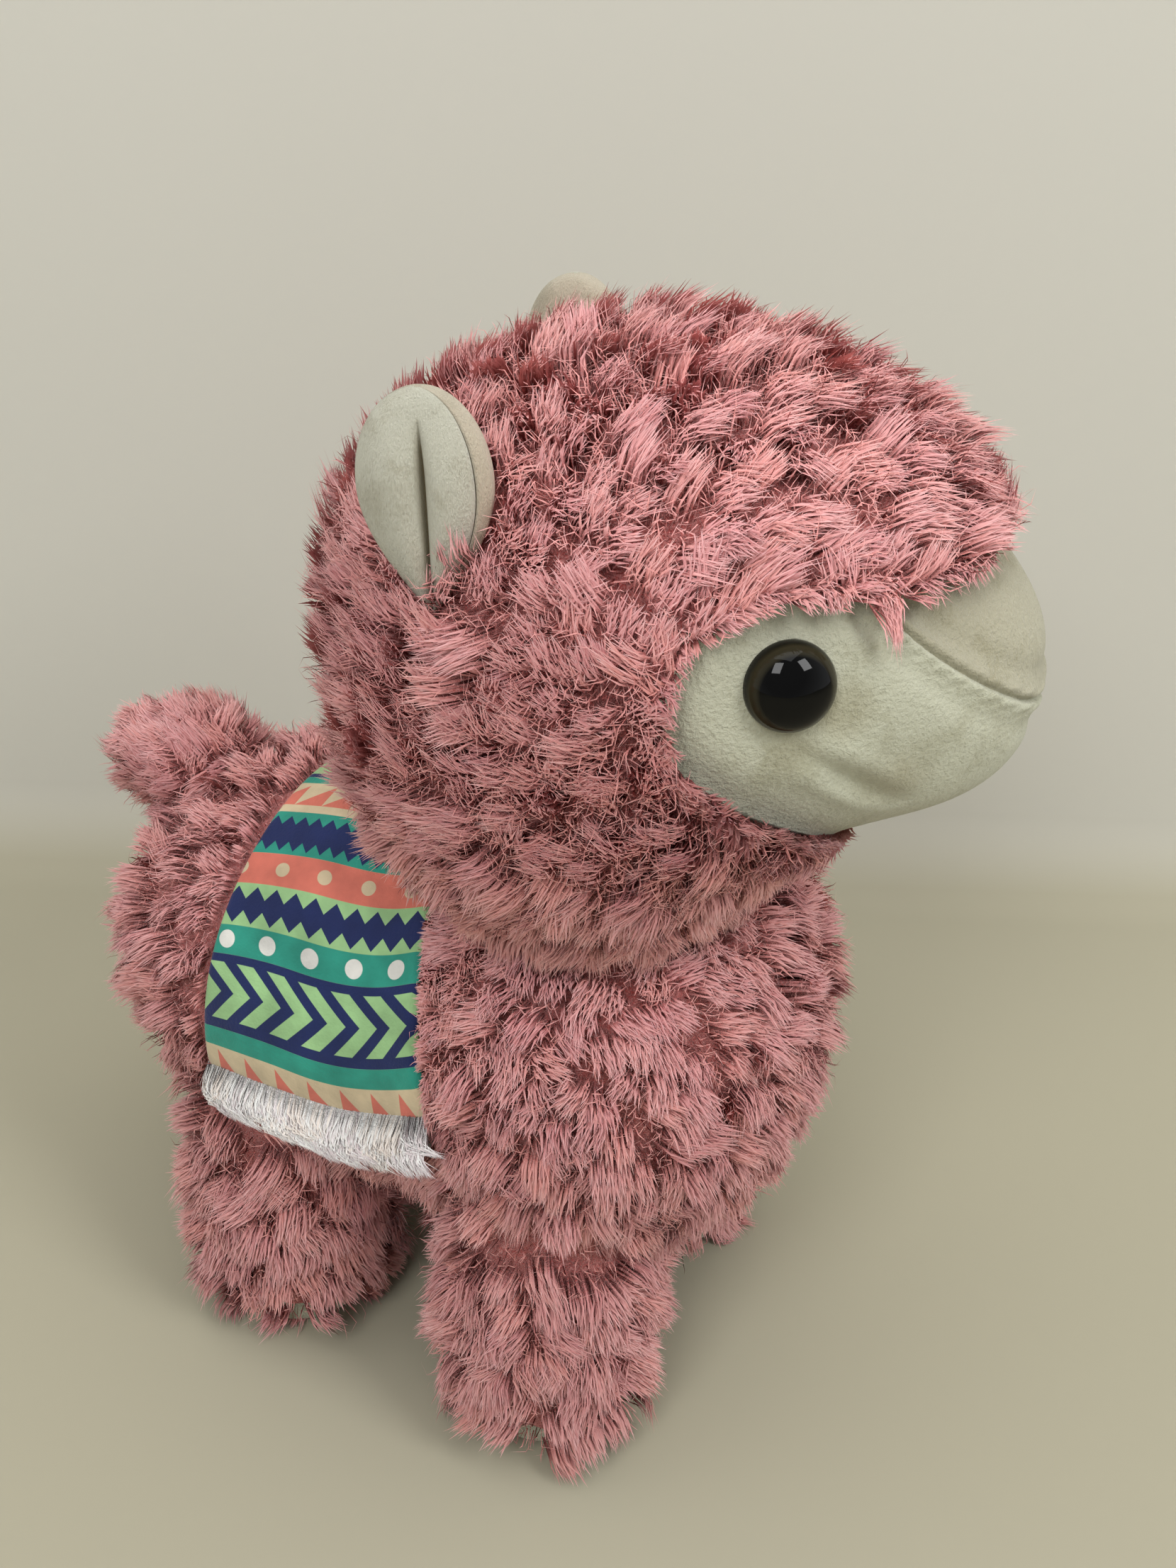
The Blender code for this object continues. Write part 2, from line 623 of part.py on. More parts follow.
hem = BLANKET_LENGTH / 2
stretch = np.linspace(-hem, hem, BLANKET_ROWS)
across = np.linspace(1, 0, BLANKET_STEPS)
blanket_shape = cloth(stretch, across, -BLANKET_BED, -BLANKET_BED + BLANKET_CLOTH)
piece("saddle_blanket", blanket_shape, PRINTED_CLOTH)
drop = np.array([hem + SEAM_GAP, hem + TRIM_DROP / 2, hem + TRIM_DROP])
for name, side in SIDES.items():
    trim = cloth(np.sort(drop * side), across, -BLANKET_BED, -BLANKET_BED + TRIM_DEPTH)
    piece("blanket_trim_" + name, trim, WHITE_FUR)
beyond = np.append(drop, hem + TRIM_DROP + BLANKET_EASE)
all_stretch = np.concatenate([-beyond[::-1], stretch, beyond])
edge_gap = BLANKET_EASE / BLANKET_SPINE_WIDTH
all_across = np.concatenate([[1 + edge_gap], across, [-edge_gap]])
room = cutter("blanket_room", cloth(all_stretch, all_across, -BLANKET_BED - SEAM_GAP, FUR_DEPTH))
for panel in body_panels:
    cut(panel, room)

# The box around the whole toy is centred on the origin
view = bpy.context.evaluated_depsgraph_get()
corners = []
for thing in bpy.data.objects:
    if thing.type == "MESH" and not thing.hide_render:
        shown = thing.evaluated_get(view)
        corners += [shown.matrix_world @ point.co for point in shown.data.vertices]
corners = np.array(corners)
middle = (corners.min(0) + corners.max(0)) / 2
llama.location = (-middle[0], -middle[1], 0)
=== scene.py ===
from math import cos, pi, radians, sin, sqrt, tan

import bmesh
import bpy
import numpy as np
from mathutils import Euler, Matrix, Vector


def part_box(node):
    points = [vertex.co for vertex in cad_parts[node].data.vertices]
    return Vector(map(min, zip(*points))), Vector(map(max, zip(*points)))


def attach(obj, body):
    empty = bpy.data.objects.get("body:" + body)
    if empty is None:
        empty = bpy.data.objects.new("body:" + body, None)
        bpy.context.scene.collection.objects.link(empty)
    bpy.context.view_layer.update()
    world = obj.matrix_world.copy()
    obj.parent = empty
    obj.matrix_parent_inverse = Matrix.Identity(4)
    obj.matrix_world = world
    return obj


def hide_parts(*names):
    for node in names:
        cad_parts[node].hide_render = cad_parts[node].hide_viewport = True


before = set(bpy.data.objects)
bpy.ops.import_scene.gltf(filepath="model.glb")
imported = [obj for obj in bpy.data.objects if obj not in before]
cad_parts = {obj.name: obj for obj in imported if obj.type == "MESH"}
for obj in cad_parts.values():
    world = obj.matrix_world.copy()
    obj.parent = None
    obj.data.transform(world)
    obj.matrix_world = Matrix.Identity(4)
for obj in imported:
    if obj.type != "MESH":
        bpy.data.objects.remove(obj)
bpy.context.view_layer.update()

# Filling
# Loose crimped polyester fibre fills the head, the body and each leg. It is blown in through
# a gap in the back seam, which is then sewn shut, so nothing of it shows on the finished toy.
FIBRE_CLUMP = 0.004
FIBRE_WHITE = "#f2f0ea"
FIBRE_GAP_SHADE = "#cfccc4"


def linear(colour):
    """A linear colour from an sRGB hex value."""
    parts = [int(colour[place:place + 2], 16) / 255 for place in (1, 3, 5)]
    return [c / 12.92 if c <= 0.04045 else ((c + 0.055) / 1.055) ** 2.4 for c in parts] + [1]


def add_node(material, kind, inputs=(), stops=(), **settings):
    """Adds a node, with its settings, its colour stops, and its inputs set or linked.

    The inputs go by name, or in order. One that is a node is linked from that node's first output,
    and a hex value is a colour."""
    tree = material.node_tree
    node = tree.nodes.new(kind)
    for name, value in settings.items():
        setattr(node, name, value)
    for name, value in inputs.items() if isinstance(inputs, dict) else enumerate(inputs):
        if isinstance(value, bpy.types.Node):
            value = value.outputs[0]
        if isinstance(value, bpy.types.NodeSocket):
            tree.links.new(value, node.inputs[name])
        else:
            node.inputs[name].default_value = linear(value) if isinstance(value, str) else value
    for number, (place, colour) in enumerate(stops):
        if number == len(node.color_ramp.elements):
            node.color_ramp.elements.new(1)
        element = node.color_ramp.elements[number]
        element.position = place
        element.color = linear(colour)
    return node


def new_material(name, sockets):
    """A material and its shader, with the shader's own sockets set."""
    material = bpy.data.materials.new(name)
    material.use_nodes = True
    shader = material.node_tree.nodes["Principled BSDF"]
    for socket, value in sockets.items():
        shader.inputs[socket].default_value = value
    return material, shader


def finish_surface(material, shader, colour, height=None, strength=1.0, distance=0.001):
    """Links a colour, and a height as bump, to a shader."""
    material.node_tree.links.new(colour, shader.inputs["Base Color"])
    if height is not None:
        bump = add_node(material, "ShaderNodeBump",
                        {"Height": height, "Strength": strength, "Distance": distance})
        material.node_tree.links.new(bump.outputs["Normal"], shader.inputs["Normal"])


# Fluffy white fibre: quite matt, with painted grey shade in the gaps between its clumps, where its bump
# sinks.
fibre, fibre_shader = new_material("polyester fibre filling", {"Roughness": 0.95})
fibre_place = add_node(fibre, "ShaderNodeTexCoord").outputs["Object"]
fibre_tangle = add_node(fibre, "ShaderNodeTexNoise", {"Vector": fibre_place, "Scale": 1 / FIBRE_CLUMP,
                                                      "Detail": 6, "Distortion": 1.5})
fibre_tone = add_node(fibre, "ShaderNodeValToRGB", {"Fac": fibre_tangle},
                      [(0.3, FIBRE_GAP_SHADE), (0.7, FIBRE_WHITE)])
finish_surface(fibre, fibre_shader, fibre_tone.outputs["Color"], fibre_tangle, 0.8, FIBRE_CLUMP / 2)


def dress(node, material):
    """Gives a CAD node a finish of its own."""
    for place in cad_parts[node].material_slots:
        place.link = "OBJECT"
        place.material = material


dress("head_filling", fibre)
dress("body_filling", fibre)
for end in ("front", "rear"):
    for side in ("left", "right"):
        dress(f"leg_filling_{end}_{side}", fibre)

# Head fur
# A left and a right panel of long tufted polyester plush, with pile about 14 mm long that
# the tumbling after sewing has gathered into soft pointed tufts. The crown is combed forward.
FUR_DEPTH = 0.009
PILE_ROOT = 0.0042
STRAND_WIDTH = 0.00048
STATION_SHARES = (0.0, 0.6, 1.0)
SHINE_SHARE = 0.20
CURL_SIZE = 0.0011
HAIR_STRETCH = (80, 3, 1)
SKULL = np.array([0.130, 0.152, 0.115]) / 2
JOWL = np.array([0.126, 0.124, 0.112]) / 2
SKULL_CENTRE = np.array([0, -0.006, 0.013])
HEAD_BLEND = 0.010
HEAD_HEIGHT = 0.209
HEAD_FORWARD = 0.035
HEAD_TURN = radians(11)
HEAD_TILT = radians(3)
NECK_HEIGHT = 0.156
MINKY_DEPTH = 0.003
SNOUT = np.array([0.062, 0.074, 0.052]) / 2
SNOUT_CENTRE = np.array([0, -0.047, 0.004])
SNOUT_BLEND = 0.014
CHIN_TUCK = 0.0038
FRONT_LEG_FORWARD = 0.034
# Pile colours from root to tip. The darker root and shade tones are painted shade deep in the pile.
FUR_ROOT_SHADE = "#d58c87"
FUR_SHADE = "#e09f9b"
FUR_PINK = "#e8b0ae"
FUR_TIP = "#f0c8c7"
# Painted shade in the lines between the fine hairs.
FUR_GAP_SHADE = "#e4cac9"

left_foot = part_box("foot_front_left")
right_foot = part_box("foot_front_right")
stand = np.array([(left_foot[0].x + right_foot[1].x) / 2,
                  (left_foot[0].y + left_foot[1].y) / 2 + FRONT_LEG_FORWARD, 0])
head_turn = np.array(Euler((0, HEAD_TILT, HEAD_TURN)).to_matrix())
head_centre = stand + np.array([0, -HEAD_FORWARD, HEAD_HEIGHT])


def from_head(points):
    """The head's own places, turned and set on the neck."""
    return points @ head_turn.T + head_centre


def to_head(points):
    return (points - head_centre) @ head_turn


def ellipsoid(points, centre, radii, power=2.0):
    """Below 0 inside, above 0 outside, in metres near the surface."""
    return ((np.abs((points - centre) / radii) ** power).sum(-1) ** (1 / power) - 1) * min(radii)


def blended(one, other, width):
    near = np.clip(0.5 + 0.5 * (other - one) / width, 0, 1)
    return other + (one - other) * near - width * near * (1 - near)


def head_fur_form(points, grow=0.0):
    return blended(ellipsoid(points, SKULL_CENTRE, SKULL + grow),
                   ellipsoid(points, -SKULL_CENTRE, JOWL + grow), HEAD_BLEND)


def head_skin_form(points, grow=0.0):
    snout = ellipsoid(points, SNOUT_CENTRE, SNOUT - MINKY_DEPTH + grow, 2.4)
    return blended(head_fur_form(points, grow - FUR_DEPTH), snout, SNOUT_BLEND)


def chin_tuck(points):
    """How far a place is under the chin, from 0 to 1."""
    return (np.clip((-points[..., 1] - 0.015) / 0.025, 0, 1)
            * np.clip((-points[..., 2] - 0.018) / 0.016, 0, 1))


def head_pile_form(points, grow=0.0):
    """The fur's form, drawn in a little where the chin is tucked against the neck."""
    return head_fur_form(points, grow) + CHIN_TUCK * chin_tuck(points)


def fringe_form(points, grow=0.0):
    """The fur's form or the face cloth, whichever lies higher."""
    return np.minimum(head_pile_form(points, grow), head_skin_form(points, grow + PILE_ROOT + MINKY_DEPTH))


def reach(form, middle, ways, grow=0.0):
    """Distance from the middle to the form's surface along each way."""
    low = np.zeros(len(ways))
    high = np.full(len(ways), 0.3)
    for _ in range(30):
        half = (low + high) / 2
        inside = form(middle + ways * half[:, None], grow) < 0
        low = np.where(inside, half, low)
        high = np.where(inside, high, half)
    return low


def unit(vectors):
    return vectors / np.maximum(np.linalg.norm(vectors, axis=-1, keepdims=True), 1e-9)


def slope(form, points, step=0.0004):
    """The form's slope at each point, which points out of it."""
    nudges = np.eye(3) * step
    return np.stack([form(points + nudge) - form(points - nudge) for nudge in nudges], -1) / (2 * step)


def spread_ways(count, random):
    """Directions spread evenly over a ball and then shaken."""
    steps = np.arange(count) + 0.5
    height = 1 - 2 * steps / count
    turn = steps * pi * (1 + sqrt(5))
    flat = np.sqrt(1 - height ** 2)
    ways = np.stack([flat * np.cos(turn), flat * np.sin(turn), height], -1)
    return unit(ways + random.normal(0, 0.9 / sqrt(count), ways.shape))


def edge_distance(points, ring):
    """Distance from flat points to a closed ring, below 0 inside it."""
    nearest = np.full(len(points), 1e9)
    crossed = np.zeros(len(points), bool)
    for a, b in zip(ring, np.roll(ring, -1, 0)):
        way = b - a
        share = np.clip(((points - a) @ way) / (way @ way), 0, 1)
        nearest = np.minimum(nearest, np.linalg.norm(points - a - share[:, None] * way, axis=1))
        spans = (a[1] > points[:, 1]) != (b[1] > points[:, 1])
        with np.errstate(divide="ignore", invalid="ignore"):
            meet = a[0] + (points[:, 1] - a[1]) / (b[1] - a[1]) * way[0]
        crossed ^= spans & (points[:, 0] < meet)
    return np.where(crossed, -nearest, nearest)


def strands_between(root, bend, end, part):
    """Stations of each strand, on a curve that leaves its root toward the bend."""
    stations = []
    for share in STATION_SHARES:
        t = (part * share)[:, None]
        stations.append(root * (1 - t) ** 2 + bend * 2 * t * (1 - t) + end * t ** 2)
    return np.stack(stations, 1)


def settled(form, points):
    """Points brought to the ground that the pile grows from, with the outward way there."""
    out = slope(form, points)
    steep = np.linalg.norm(out, axis=1)
    out = out / steep[:, None]
    return points - out * (form(points, -PILE_ROOT) / steep)[:, None], out


def tufts(form, middle, count, strands, lie, length, rise, spread, seed, scatter=0.6):
    """Strands of pile gathered into brush-ended tufts all over a form.

    It gives the stations of each strand, the outward way at its root, its tone and its width."""
    random = np.random.default_rng(seed)
    ways = spread_ways(count, random)
    centre = middle + ways * reach(form, middle, ways, -PILE_ROOT)[:, None]
    up = unit(slope(form, centre))
    along = lie(centre)
    along = unit(along - (along * up).sum(-1, keepdims=True) * up)
    turn = random.normal(0, scatter, count)[:, None]
    along = along * np.cos(turn) + np.cross(up, along) * np.sin(turn)
    across = np.cross(up, along)
    size = length * random.uniform(0.6, 1.35, count)[:, None]
    lift = PILE_ROOT + rise * random.uniform(0.3, 1.7, count)[:, None]
    tip = up * lift + along * size
    tone = random.uniform(0, 1, count)
    owner = np.repeat(np.arange(count), strands)
    total = len(owner)
    angle = random.uniform(0, 2 * pi, total)[:, None]
    away = np.sqrt(random.uniform(0, 1, total))
    offset = (along[owner] * np.cos(angle) * 0.8 + across[owner] * np.sin(angle)) * (spread * away)[:, None]
    root, out = settled(form, centre[owner] + offset)
    end = centre[owner] + offset * random.uniform(0.75, 1.25, (total, 1)) + tip[owner]
    end += random.normal(0, 0.0011, (total, 3))
    bend = root + out * lift[owner] * 0.85 + along[owner] * size[owner] * 0.18 - offset * 0.35
    bend += random.normal(0, 0.0006, (total, 3))
    part = 1.04 - 0.26 * away ** 2 - random.uniform(0, 0.14, total)
    shade = np.clip(tone[owner] * 0.8 + 0.1 + random.normal(0, 0.12, total), 0.02, 0.98)
    return strands_between(root, bend, end, part), out, shade, random.uniform(0.7, 1.3, total)


def underfur(form, middle, count, length, seed):
    """Fine curly strands that cross in all directions between the tufts, and a few that stray out."""
    random = np.random.default_rng(seed)
    ways = spread_ways(count, random)
    root, out = settled(form, middle + ways * reach(form, middle, ways, -PILE_ROOT)[:, None])
    along = np.cross(out, unit(random.normal(0, 1, (count, 3))))
    stray = random.uniform(0, 1, count) > 0.86
    height = np.where(stray, random.uniform(0.007, 0.0115, count), random.uniform(0.0025, 0.0075, count))
    run = length * random.uniform(0.4, 1.2, count)
    end = root + out * height[:, None] + along * run[:, None]
    bend = root + out * height[:, None] * 1.1 + np.cross(out, along) * random.normal(0, 0.003, (count, 1))
    shade = random.uniform(0.6, 0.98, count)
    return strands_between(root, bend, end, np.ones(count)), out, shade, np.where(stray, 0.35, 0.62)


def joined(*groups):
    """Groups of strands as one."""
    return [np.concatenate(parts) for parts in zip(*groups)]


def ribbons(strands, width, seed):
    """A thin pointed ribbon along each strand: points, faces, marks and soft normals.

    A mark holds the strand's tone, a little less on one edge and more on the other, and its height, which the
    fur's colour turns into painted shade toward the root."""
    stations, out, tone, wide = strands
    random = np.random.default_rng(seed)
    total = len(stations)
    run = unit(np.gradient(stations, axis=1))
    side = unit(np.cross(run, out[:, None, :]))
    roll = random.uniform(-0.5, 0.5, total)[:, None, None]
    side = side * np.cos(roll) + np.cross(side, run) * np.sin(roll)
    half = width / 2 * wide[:, None, None]
    left = stations[:, :2] - side[:, :2] * half
    right = stations[:, :2] + side[:, :2] * half
    points = np.concatenate([np.stack([left, right], 2).reshape(total, 4, 3), stations[:, 2:]], 1)
    base = (np.arange(total) * 5)[:, None]
    heights = np.array([0, 0, STATION_SHARES[1], STATION_SHARES[1], 1.0])
    edges = np.array([-1, 1, -1, 1, 0]) * 0.02
    marks = np.stack([(tone[:, None] + edges).ravel(), np.tile(heights, total)], -1)
    facing = unit(np.cross(side, run))[:, [0, 0, 1, 1, 2]]
    normals = unit(facing * SHINE_SHARE + out[:, None, :] * (1 - SHINE_SHARE))
    return points.reshape(-1, 3), [base + [0, 1, 3, 2], base + [2, 3, 4]], marks, normals.reshape(-1, 3)


def backing(form, middle, grow, keep, detail=5):
    """The woven ground that the pile grows from, where keep allows it."""
    ball = bmesh.new()
    bmesh.ops.create_icosphere(ball, subdivisions=detail, radius=1)
    ways = unit(np.array([point.co[:] for point in ball.verts]))
    faces = np.array([[point.index for point in face.verts] for face in ball.faces])
    ball.free()
    points = middle + ways * reach(form, middle, ways, grow)[:, None]
    faces = faces[keep(points[faces].mean(1))]
    used, flat = np.unique(faces, return_inverse=True)
    random = np.random.default_rng(len(used))
    # Low height marks give the ground the fur's painted root shade.
    marks = np.stack([random.uniform(0.2, 0.8, len(used)), random.uniform(0, 0.3, len(used))], -1)
    out = unit(slope(form, points[used]))
    rough = points[used] + out * random.normal(0, 0.0005, (len(used), 1))
    return rough, [flat.reshape(faces.shape)], marks, unit(out + random.normal(0, 0.25, out.shape))


def new_piece(name, parts, material):
    """One smooth object from parts of points, face arrays, marks and perhaps soft normals."""
    corners = []
    sizes = []
    start = 0
    for part in parts:
        for faces in part[1]:
            corners.append((faces + start).ravel())
            sizes.append(np.full(len(faces), faces.shape[1]))
        start += len(part[0])
    corners = np.concatenate(corners).astype(np.int32)
    sizes = np.concatenate(sizes)
    points = np.concatenate([part[0] for part in parts]).astype(np.float32)
    marks = np.concatenate([part[2] for part in parts])
    mesh = bpy.data.meshes.new(name)
    mesh.vertices.add(len(points))
    mesh.vertices.foreach_set("co", points.ravel())
    mesh.loops.add(len(corners))
    mesh.loops.foreach_set("vertex_index", corners)
    mesh.polygons.add(len(sizes))
    mesh.polygons.foreach_set("loop_start", (np.cumsum(sizes) - sizes).astype(np.int32))
    mesh.update(calc_edges=True)
    spots = mesh.uv_layers.new(name="OFBake")
    spots.uv.foreach_set("vector", marks[corners].astype(np.float32).ravel())
    mesh.shade_smooth()
    if len(parts[0]) > 3:
        mesh.normals_split_custom_set_from_vertices(np.concatenate([part[3] for part in parts]))
    mesh.materials.append(material)
    piece = bpy.data.objects.new(name, mesh)
    bpy.context.collection.objects.link(piece)
    return piece


MULTIPLIED = {"data_type": "RGBA", "blend_type": "MULTIPLY"}


def fur_material(name, root, shade, body, tip, gap_shade):
    """Polyester pile with painted shade: darker toward the roots and in the deep ground, paler and matt with
    a soft sheen at the tips.
    """
    material, shader = new_material(name, {"Roughness": 0.8, "Specular IOR Level": 0.25, "Sheen Weight": 0.35,
                                           "Sheen Roughness": 0.5, "Sheen Tint": linear(tip)})
    mark = add_node(material, "ShaderNodeUVMap", uv_map="OFBake")
    parts = add_node(material, "ShaderNodeSeparateXYZ", {"Vector": mark})
    height = parts.outputs["Y"]
    # Painted shade: each strand darkens from its tip down to its root.
    colour = add_node(material, "ShaderNodeValToRGB", {"Fac": height},
                      [(0.0, root), (0.4, shade), (0.75, body), (1.0, tip)])
    tint = add_node(material, "ShaderNodeValToRGB", {"Fac": parts.outputs["X"]},
                    [(0.0, "#f3e6ea"), (0.5, "#ffffff"), (1.0, "#fff3ec")])
    # Fine hairs drawn along each ribbon, with painted shade in the lines between them.
    lines = add_node(material, "ShaderNodeMapping", {"Vector": mark, "Scale": HAIR_STRETCH})
    hairs = add_node(material, "ShaderNodeTexNoise", {"Vector": lines, "Scale": 1.0, "Detail": 2})
    fine = add_node(material, "ShaderNodeValToRGB", {"Fac": hairs}, [(0.35, gap_shade), (0.58, "#ffffff")])
    place = add_node(material, "ShaderNodeTexCoord").outputs["Object"]
    curls = add_node(material, "ShaderNodeTexNoise", {"Vector": place, "Scale": 1 / CURL_SIZE, "Detail": 4,
                                                      "Distortion": 2.5})
    # Painted shade in the deep pile and the ground: curly blotches of the shade tone, fading out above mid
    # height.
    curl_shade = add_node(material, "ShaderNodeValToRGB", {"Fac": curls}, [(0.36, shade), (0.6, "#ffffff")])
    deep = add_node(material, "ShaderNodeMapRange", {"Value": height, "From Min": 0.3, "From Max": 0.6,
                                                     "To Min": 1.0, "To Max": 0.0})
    for layer, share in ((tint, 1.0), (fine, 1.0), (curl_shade, deep)):
        colour = add_node(material, "ShaderNodeMix", {"Factor": share, "A": colour, "B": layer},
                          **MULTIPLIED).outputs["Result"]
    finish_surface(material, shader, colour, curls, deep, CURL_SIZE)
    return material


def stand_in(piece, node):
    """The piece rides on the body and stands for a CAD node, which is hidden."""
    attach(piece, "root")
    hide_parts(node)


def shorten(strands, flat_places, ring, over):
    """Pulls back the strands whose tips lie further than over inside an opening."""
    stations = strands[0]
    root_gap = edge_distance(flat_places(stations[:, 0]), ring)
    tip_gap = edge_distance(flat_places(stations[:, -1]), ring)
    share = np.where(tip_gap < -over, (root_gap + over) / np.maximum(root_gap - tip_gap, 1e-6), 1)
    share = np.clip(share, 0.3, 1)[:, None, None]
    return [stations[:, :1] + (stations - stations[:, :1]) * share] + list(strands[1:])


def chosen(strands, which):
    return [part[which] for part in strands]


def mirrored_ring(half):
    """A ring of angles from its right half, which runs from the top middle to the bottom middle."""
    half = np.radians(half)
    return np.concatenate([half, half[-2:0:-1] * (-1, 1)])


FACE_HALF = np.array([(0, 27), (30, 26), (44, 28.5), (58, 29.5), (70, 24), (73.5, 13), (70, 3),
                      (58, -7), (42, -16), (20, -27.5), (0, -33)], float)
face_ring = mirrored_ring(FACE_HALF)


def head_angles(points):
    """Side and lift of the head's own points, seen from its middle."""
    far = np.linalg.norm(points, axis=-1)
    return np.stack([np.arctan2(points[..., 0], -points[..., 1]), np.arcsin(points[..., 2] / far)], -1)


def head_lie(points):
    """The crown is combed forward, the sides stand up and back, and the jaw hangs."""
    top = np.clip((points[:, 2] - 0.020) / 0.030, 0, 1)[:, None]
    jaw = np.clip((-0.012 - points[:, 2]) / 0.030, 0, 1)[:, None]
    return (np.array([0, -1.0, 0.1]) * top + np.array([0, 0.6, 0.8]) * (1 - top - jaw)
            + np.array([0, 0.3, -0.9]) * jaw)


BELLY_CLEARANCE = 0.044
CHEST = np.array([0.124, 0.104, 0.128]) / 2
RUMP = np.array([0.120, 0.150, 0.110]) / 2
CHEST_CENTRE = stand + np.array([0, -0.032, BELLY_CLEARANCE + CHEST[2]])
RUMP_CENTRE = stand + np.array([0, 0.037, BELLY_CLEARANCE + RUMP[2]])
BODY_BLEND = 0.022


def body_form(points, grow=0.0):
    return blended(ellipsoid(points, CHEST_CENTRE, CHEST + grow),
                   ellipsoid(points, RUMP_CENTRE, RUMP + grow), BODY_BLEND)


def on_head(points):
    """Where the head has fur: above the neck, clear of the body, and outside the face."""
    world = from_head(points)
    bare = edge_distance(head_angles(points), face_ring) < 0.012
    return (world[:, 2] > NECK_HEIGHT - 0.003) & (body_form(world) > -0.003) & ~bare


pink_fur = fur_material("pink tufted polyester plush", FUR_ROOT_SHADE, FUR_SHADE, FUR_PINK, FUR_TIP, FUR_GAP_SHADE)
HEAD_TUFTS = 1250
HEAD_STRANDS = 64
HEAD_UNDERFUR = 36000
EDGE_TUFTS = 4200
EDGE_STRANDS = 34
FACE_MIDDLE = (35, 6)
LOCK_STRANDS = 130
at_head = np.zeros(3)


def ways_of(angles):
    """Directions from the head's middle at given side and lift angles."""
    side, lift = angles[..., 0], angles[..., 1]
    return np.stack([np.sin(side) * np.cos(lift), -np.cos(side) * np.cos(lift), np.sin(lift)], -1)


def face_lie(points):
    """The fringe leans in over the face."""
    middle = ways_of(np.radians(FACE_MIDDLE)) * np.where(points[:, :1] < 0, (-1, 1, 1), (1, 1, 1))
    return middle - unit(points)


EAR_HEIGHT = 0.051
EAR_WIDTH = 0.0265
EAR_SIDE = radians(122)
EAR_LIFT = radians(30)
EAR_SPLAY = radians(4)
EAR_FACING = radians(82)
EAR_ROOT = 0.018
ear_seats = {}
for sign in (1, -1):
    ear_way = ways_of(np.array([EAR_SIDE * sign, EAR_LIFT]))
    ear_seats[sign] = (ear_way * reach(head_fur_form, at_head, ear_way[None])[0],
                       np.array(Euler((0, EAR_SPLAY * sign, EAR_FACING * sign)).to_matrix()))


def in_ears(stations):
    """Which strands would pass through an ear."""
    through = np.zeros(len(stations), bool)
    for seat, turn in ear_seats.values():
        local = (stations - seat) @ turn
        wide = EAR_WIDTH / 2 * np.clip(0.5 + local[..., 2] / EAR_HEIGHT * 1.4, 0.1, 0.95)
        inside = (np.abs(local[..., 0]) < wide) & (np.abs(local[..., 1]) < 0.007) & (local[..., 2] > 0.006)
        through |= inside.any(1)
    return through


crown = tufts(head_pile_form, at_head, HEAD_TUFTS, HEAD_STRANDS, head_lie, 0.0074, 0.0044, 0.0042, 11)
fringe = tufts(fringe_form, at_head, EDGE_TUFTS, EDGE_STRANDS, face_lie, 0.0056, 0.0010, 0.0026, 12,
               scatter=0.5)
edge_gap = edge_distance(head_angles(fringe[0][:, 0]), face_ring)
fringe = chosen(fringe, (edge_gap > 0) & (edge_gap < 0.07))
curls = underfur(head_pile_form, at_head, HEAD_UNDERFUR, 0.0060, 13)
lock_random = np.random.default_rng(15)
lock_root = ways_of(np.radians(lock_random.normal((-38, 30), (1.6, 1.2), (LOCK_STRANDS, 2))))
lock_tip = ways_of(np.radians(lock_random.normal((-37.5, 21), (0.8, 1.5), (LOCK_STRANDS, 2))))
lock_root *= reach(head_fur_form, at_head, lock_root, -0.002)[:, None]
lock_tip *= reach(head_fur_form, at_head, lock_tip, -0.001)[:, None]
lock_bend = (lock_root + lock_tip) / 2 * 1.05
forelock = [strands_between(lock_root, lock_bend, lock_tip, lock_random.uniform(0.75, 1, LOCK_STRANDS)),
            unit(lock_root), lock_random.uniform(0.3, 0.8, LOCK_STRANDS), np.full(LOCK_STRANDS, 0.7)]
head_strands = joined(crown, fringe, curls)
head_strands = chosen(head_strands, on_head(head_strands[0][:, 0]))
tucked = 1 - 0.65 * chin_tuck(head_strands[0][:, :1])[..., None]
head_strands[0] = head_strands[0][:, :1] + (head_strands[0] - head_strands[0][:, :1]) * tucked
head_strands = shorten(head_strands, head_angles, face_ring, 0.028)
head_strands = chosen(head_strands, ~in_ears(head_strands[0]))
head_strands = joined(head_strands, forelock)
for side, sign in (("left", 1), ("right", -1)):
    pile = ribbons(chosen(head_strands, head_strands[0][:, 0, 0] * sign > 0), STRAND_WIDTH, 14)
    ground = backing(head_pile_form, at_head, -PILE_ROOT, lambda points: on_head(points)
                     & (points[:, 0] * sign > 0) & (edge_distance(head_angles(points), face_ring) > 0.035))
    parts = [(from_head(points), faces, marks, normals @ head_turn.T) for points, faces, marks, normals
             in (ground, pile)]
    piece = new_piece("head_fur_panel_" + side, parts, pink_fur)
    stand_in(piece, "head_fur_" + side)

# Face
# Two cheeks and a nose bridge of short-pile cream minky over the stuffed muzzle. They are
# sewn edge to edge, so the seams pull in, and the cloth swells a little on both sides.
EYE_ANGLES = (52, 17)
EYE_SIDE, EYE_LIFT = (radians(angle) for angle in EYE_ANGLES)
CREASE_LINE = ((51, 6), (26, -10))
FOLD_LINE = ((45, -0.5), (32, -8.5))
FACE_ARC = 0.058
SEAM_ARC = 0.075
MINKY_CREAM = "#bebea8"
MINKY_SHADE = "#a9a78e"
BRIDGE_BEIGE = "#aba68f"
BRIDGE_SHADE = "#999378"
SPOT_BROWN = "#b3a27c"
MINKY_PATCH = 0.011
MINKY_PILE = 0.0011
MINKY_NAP = 0.0010
MINKY_CLOTH = 0.0022
STITCH_SPACING = 0.0022


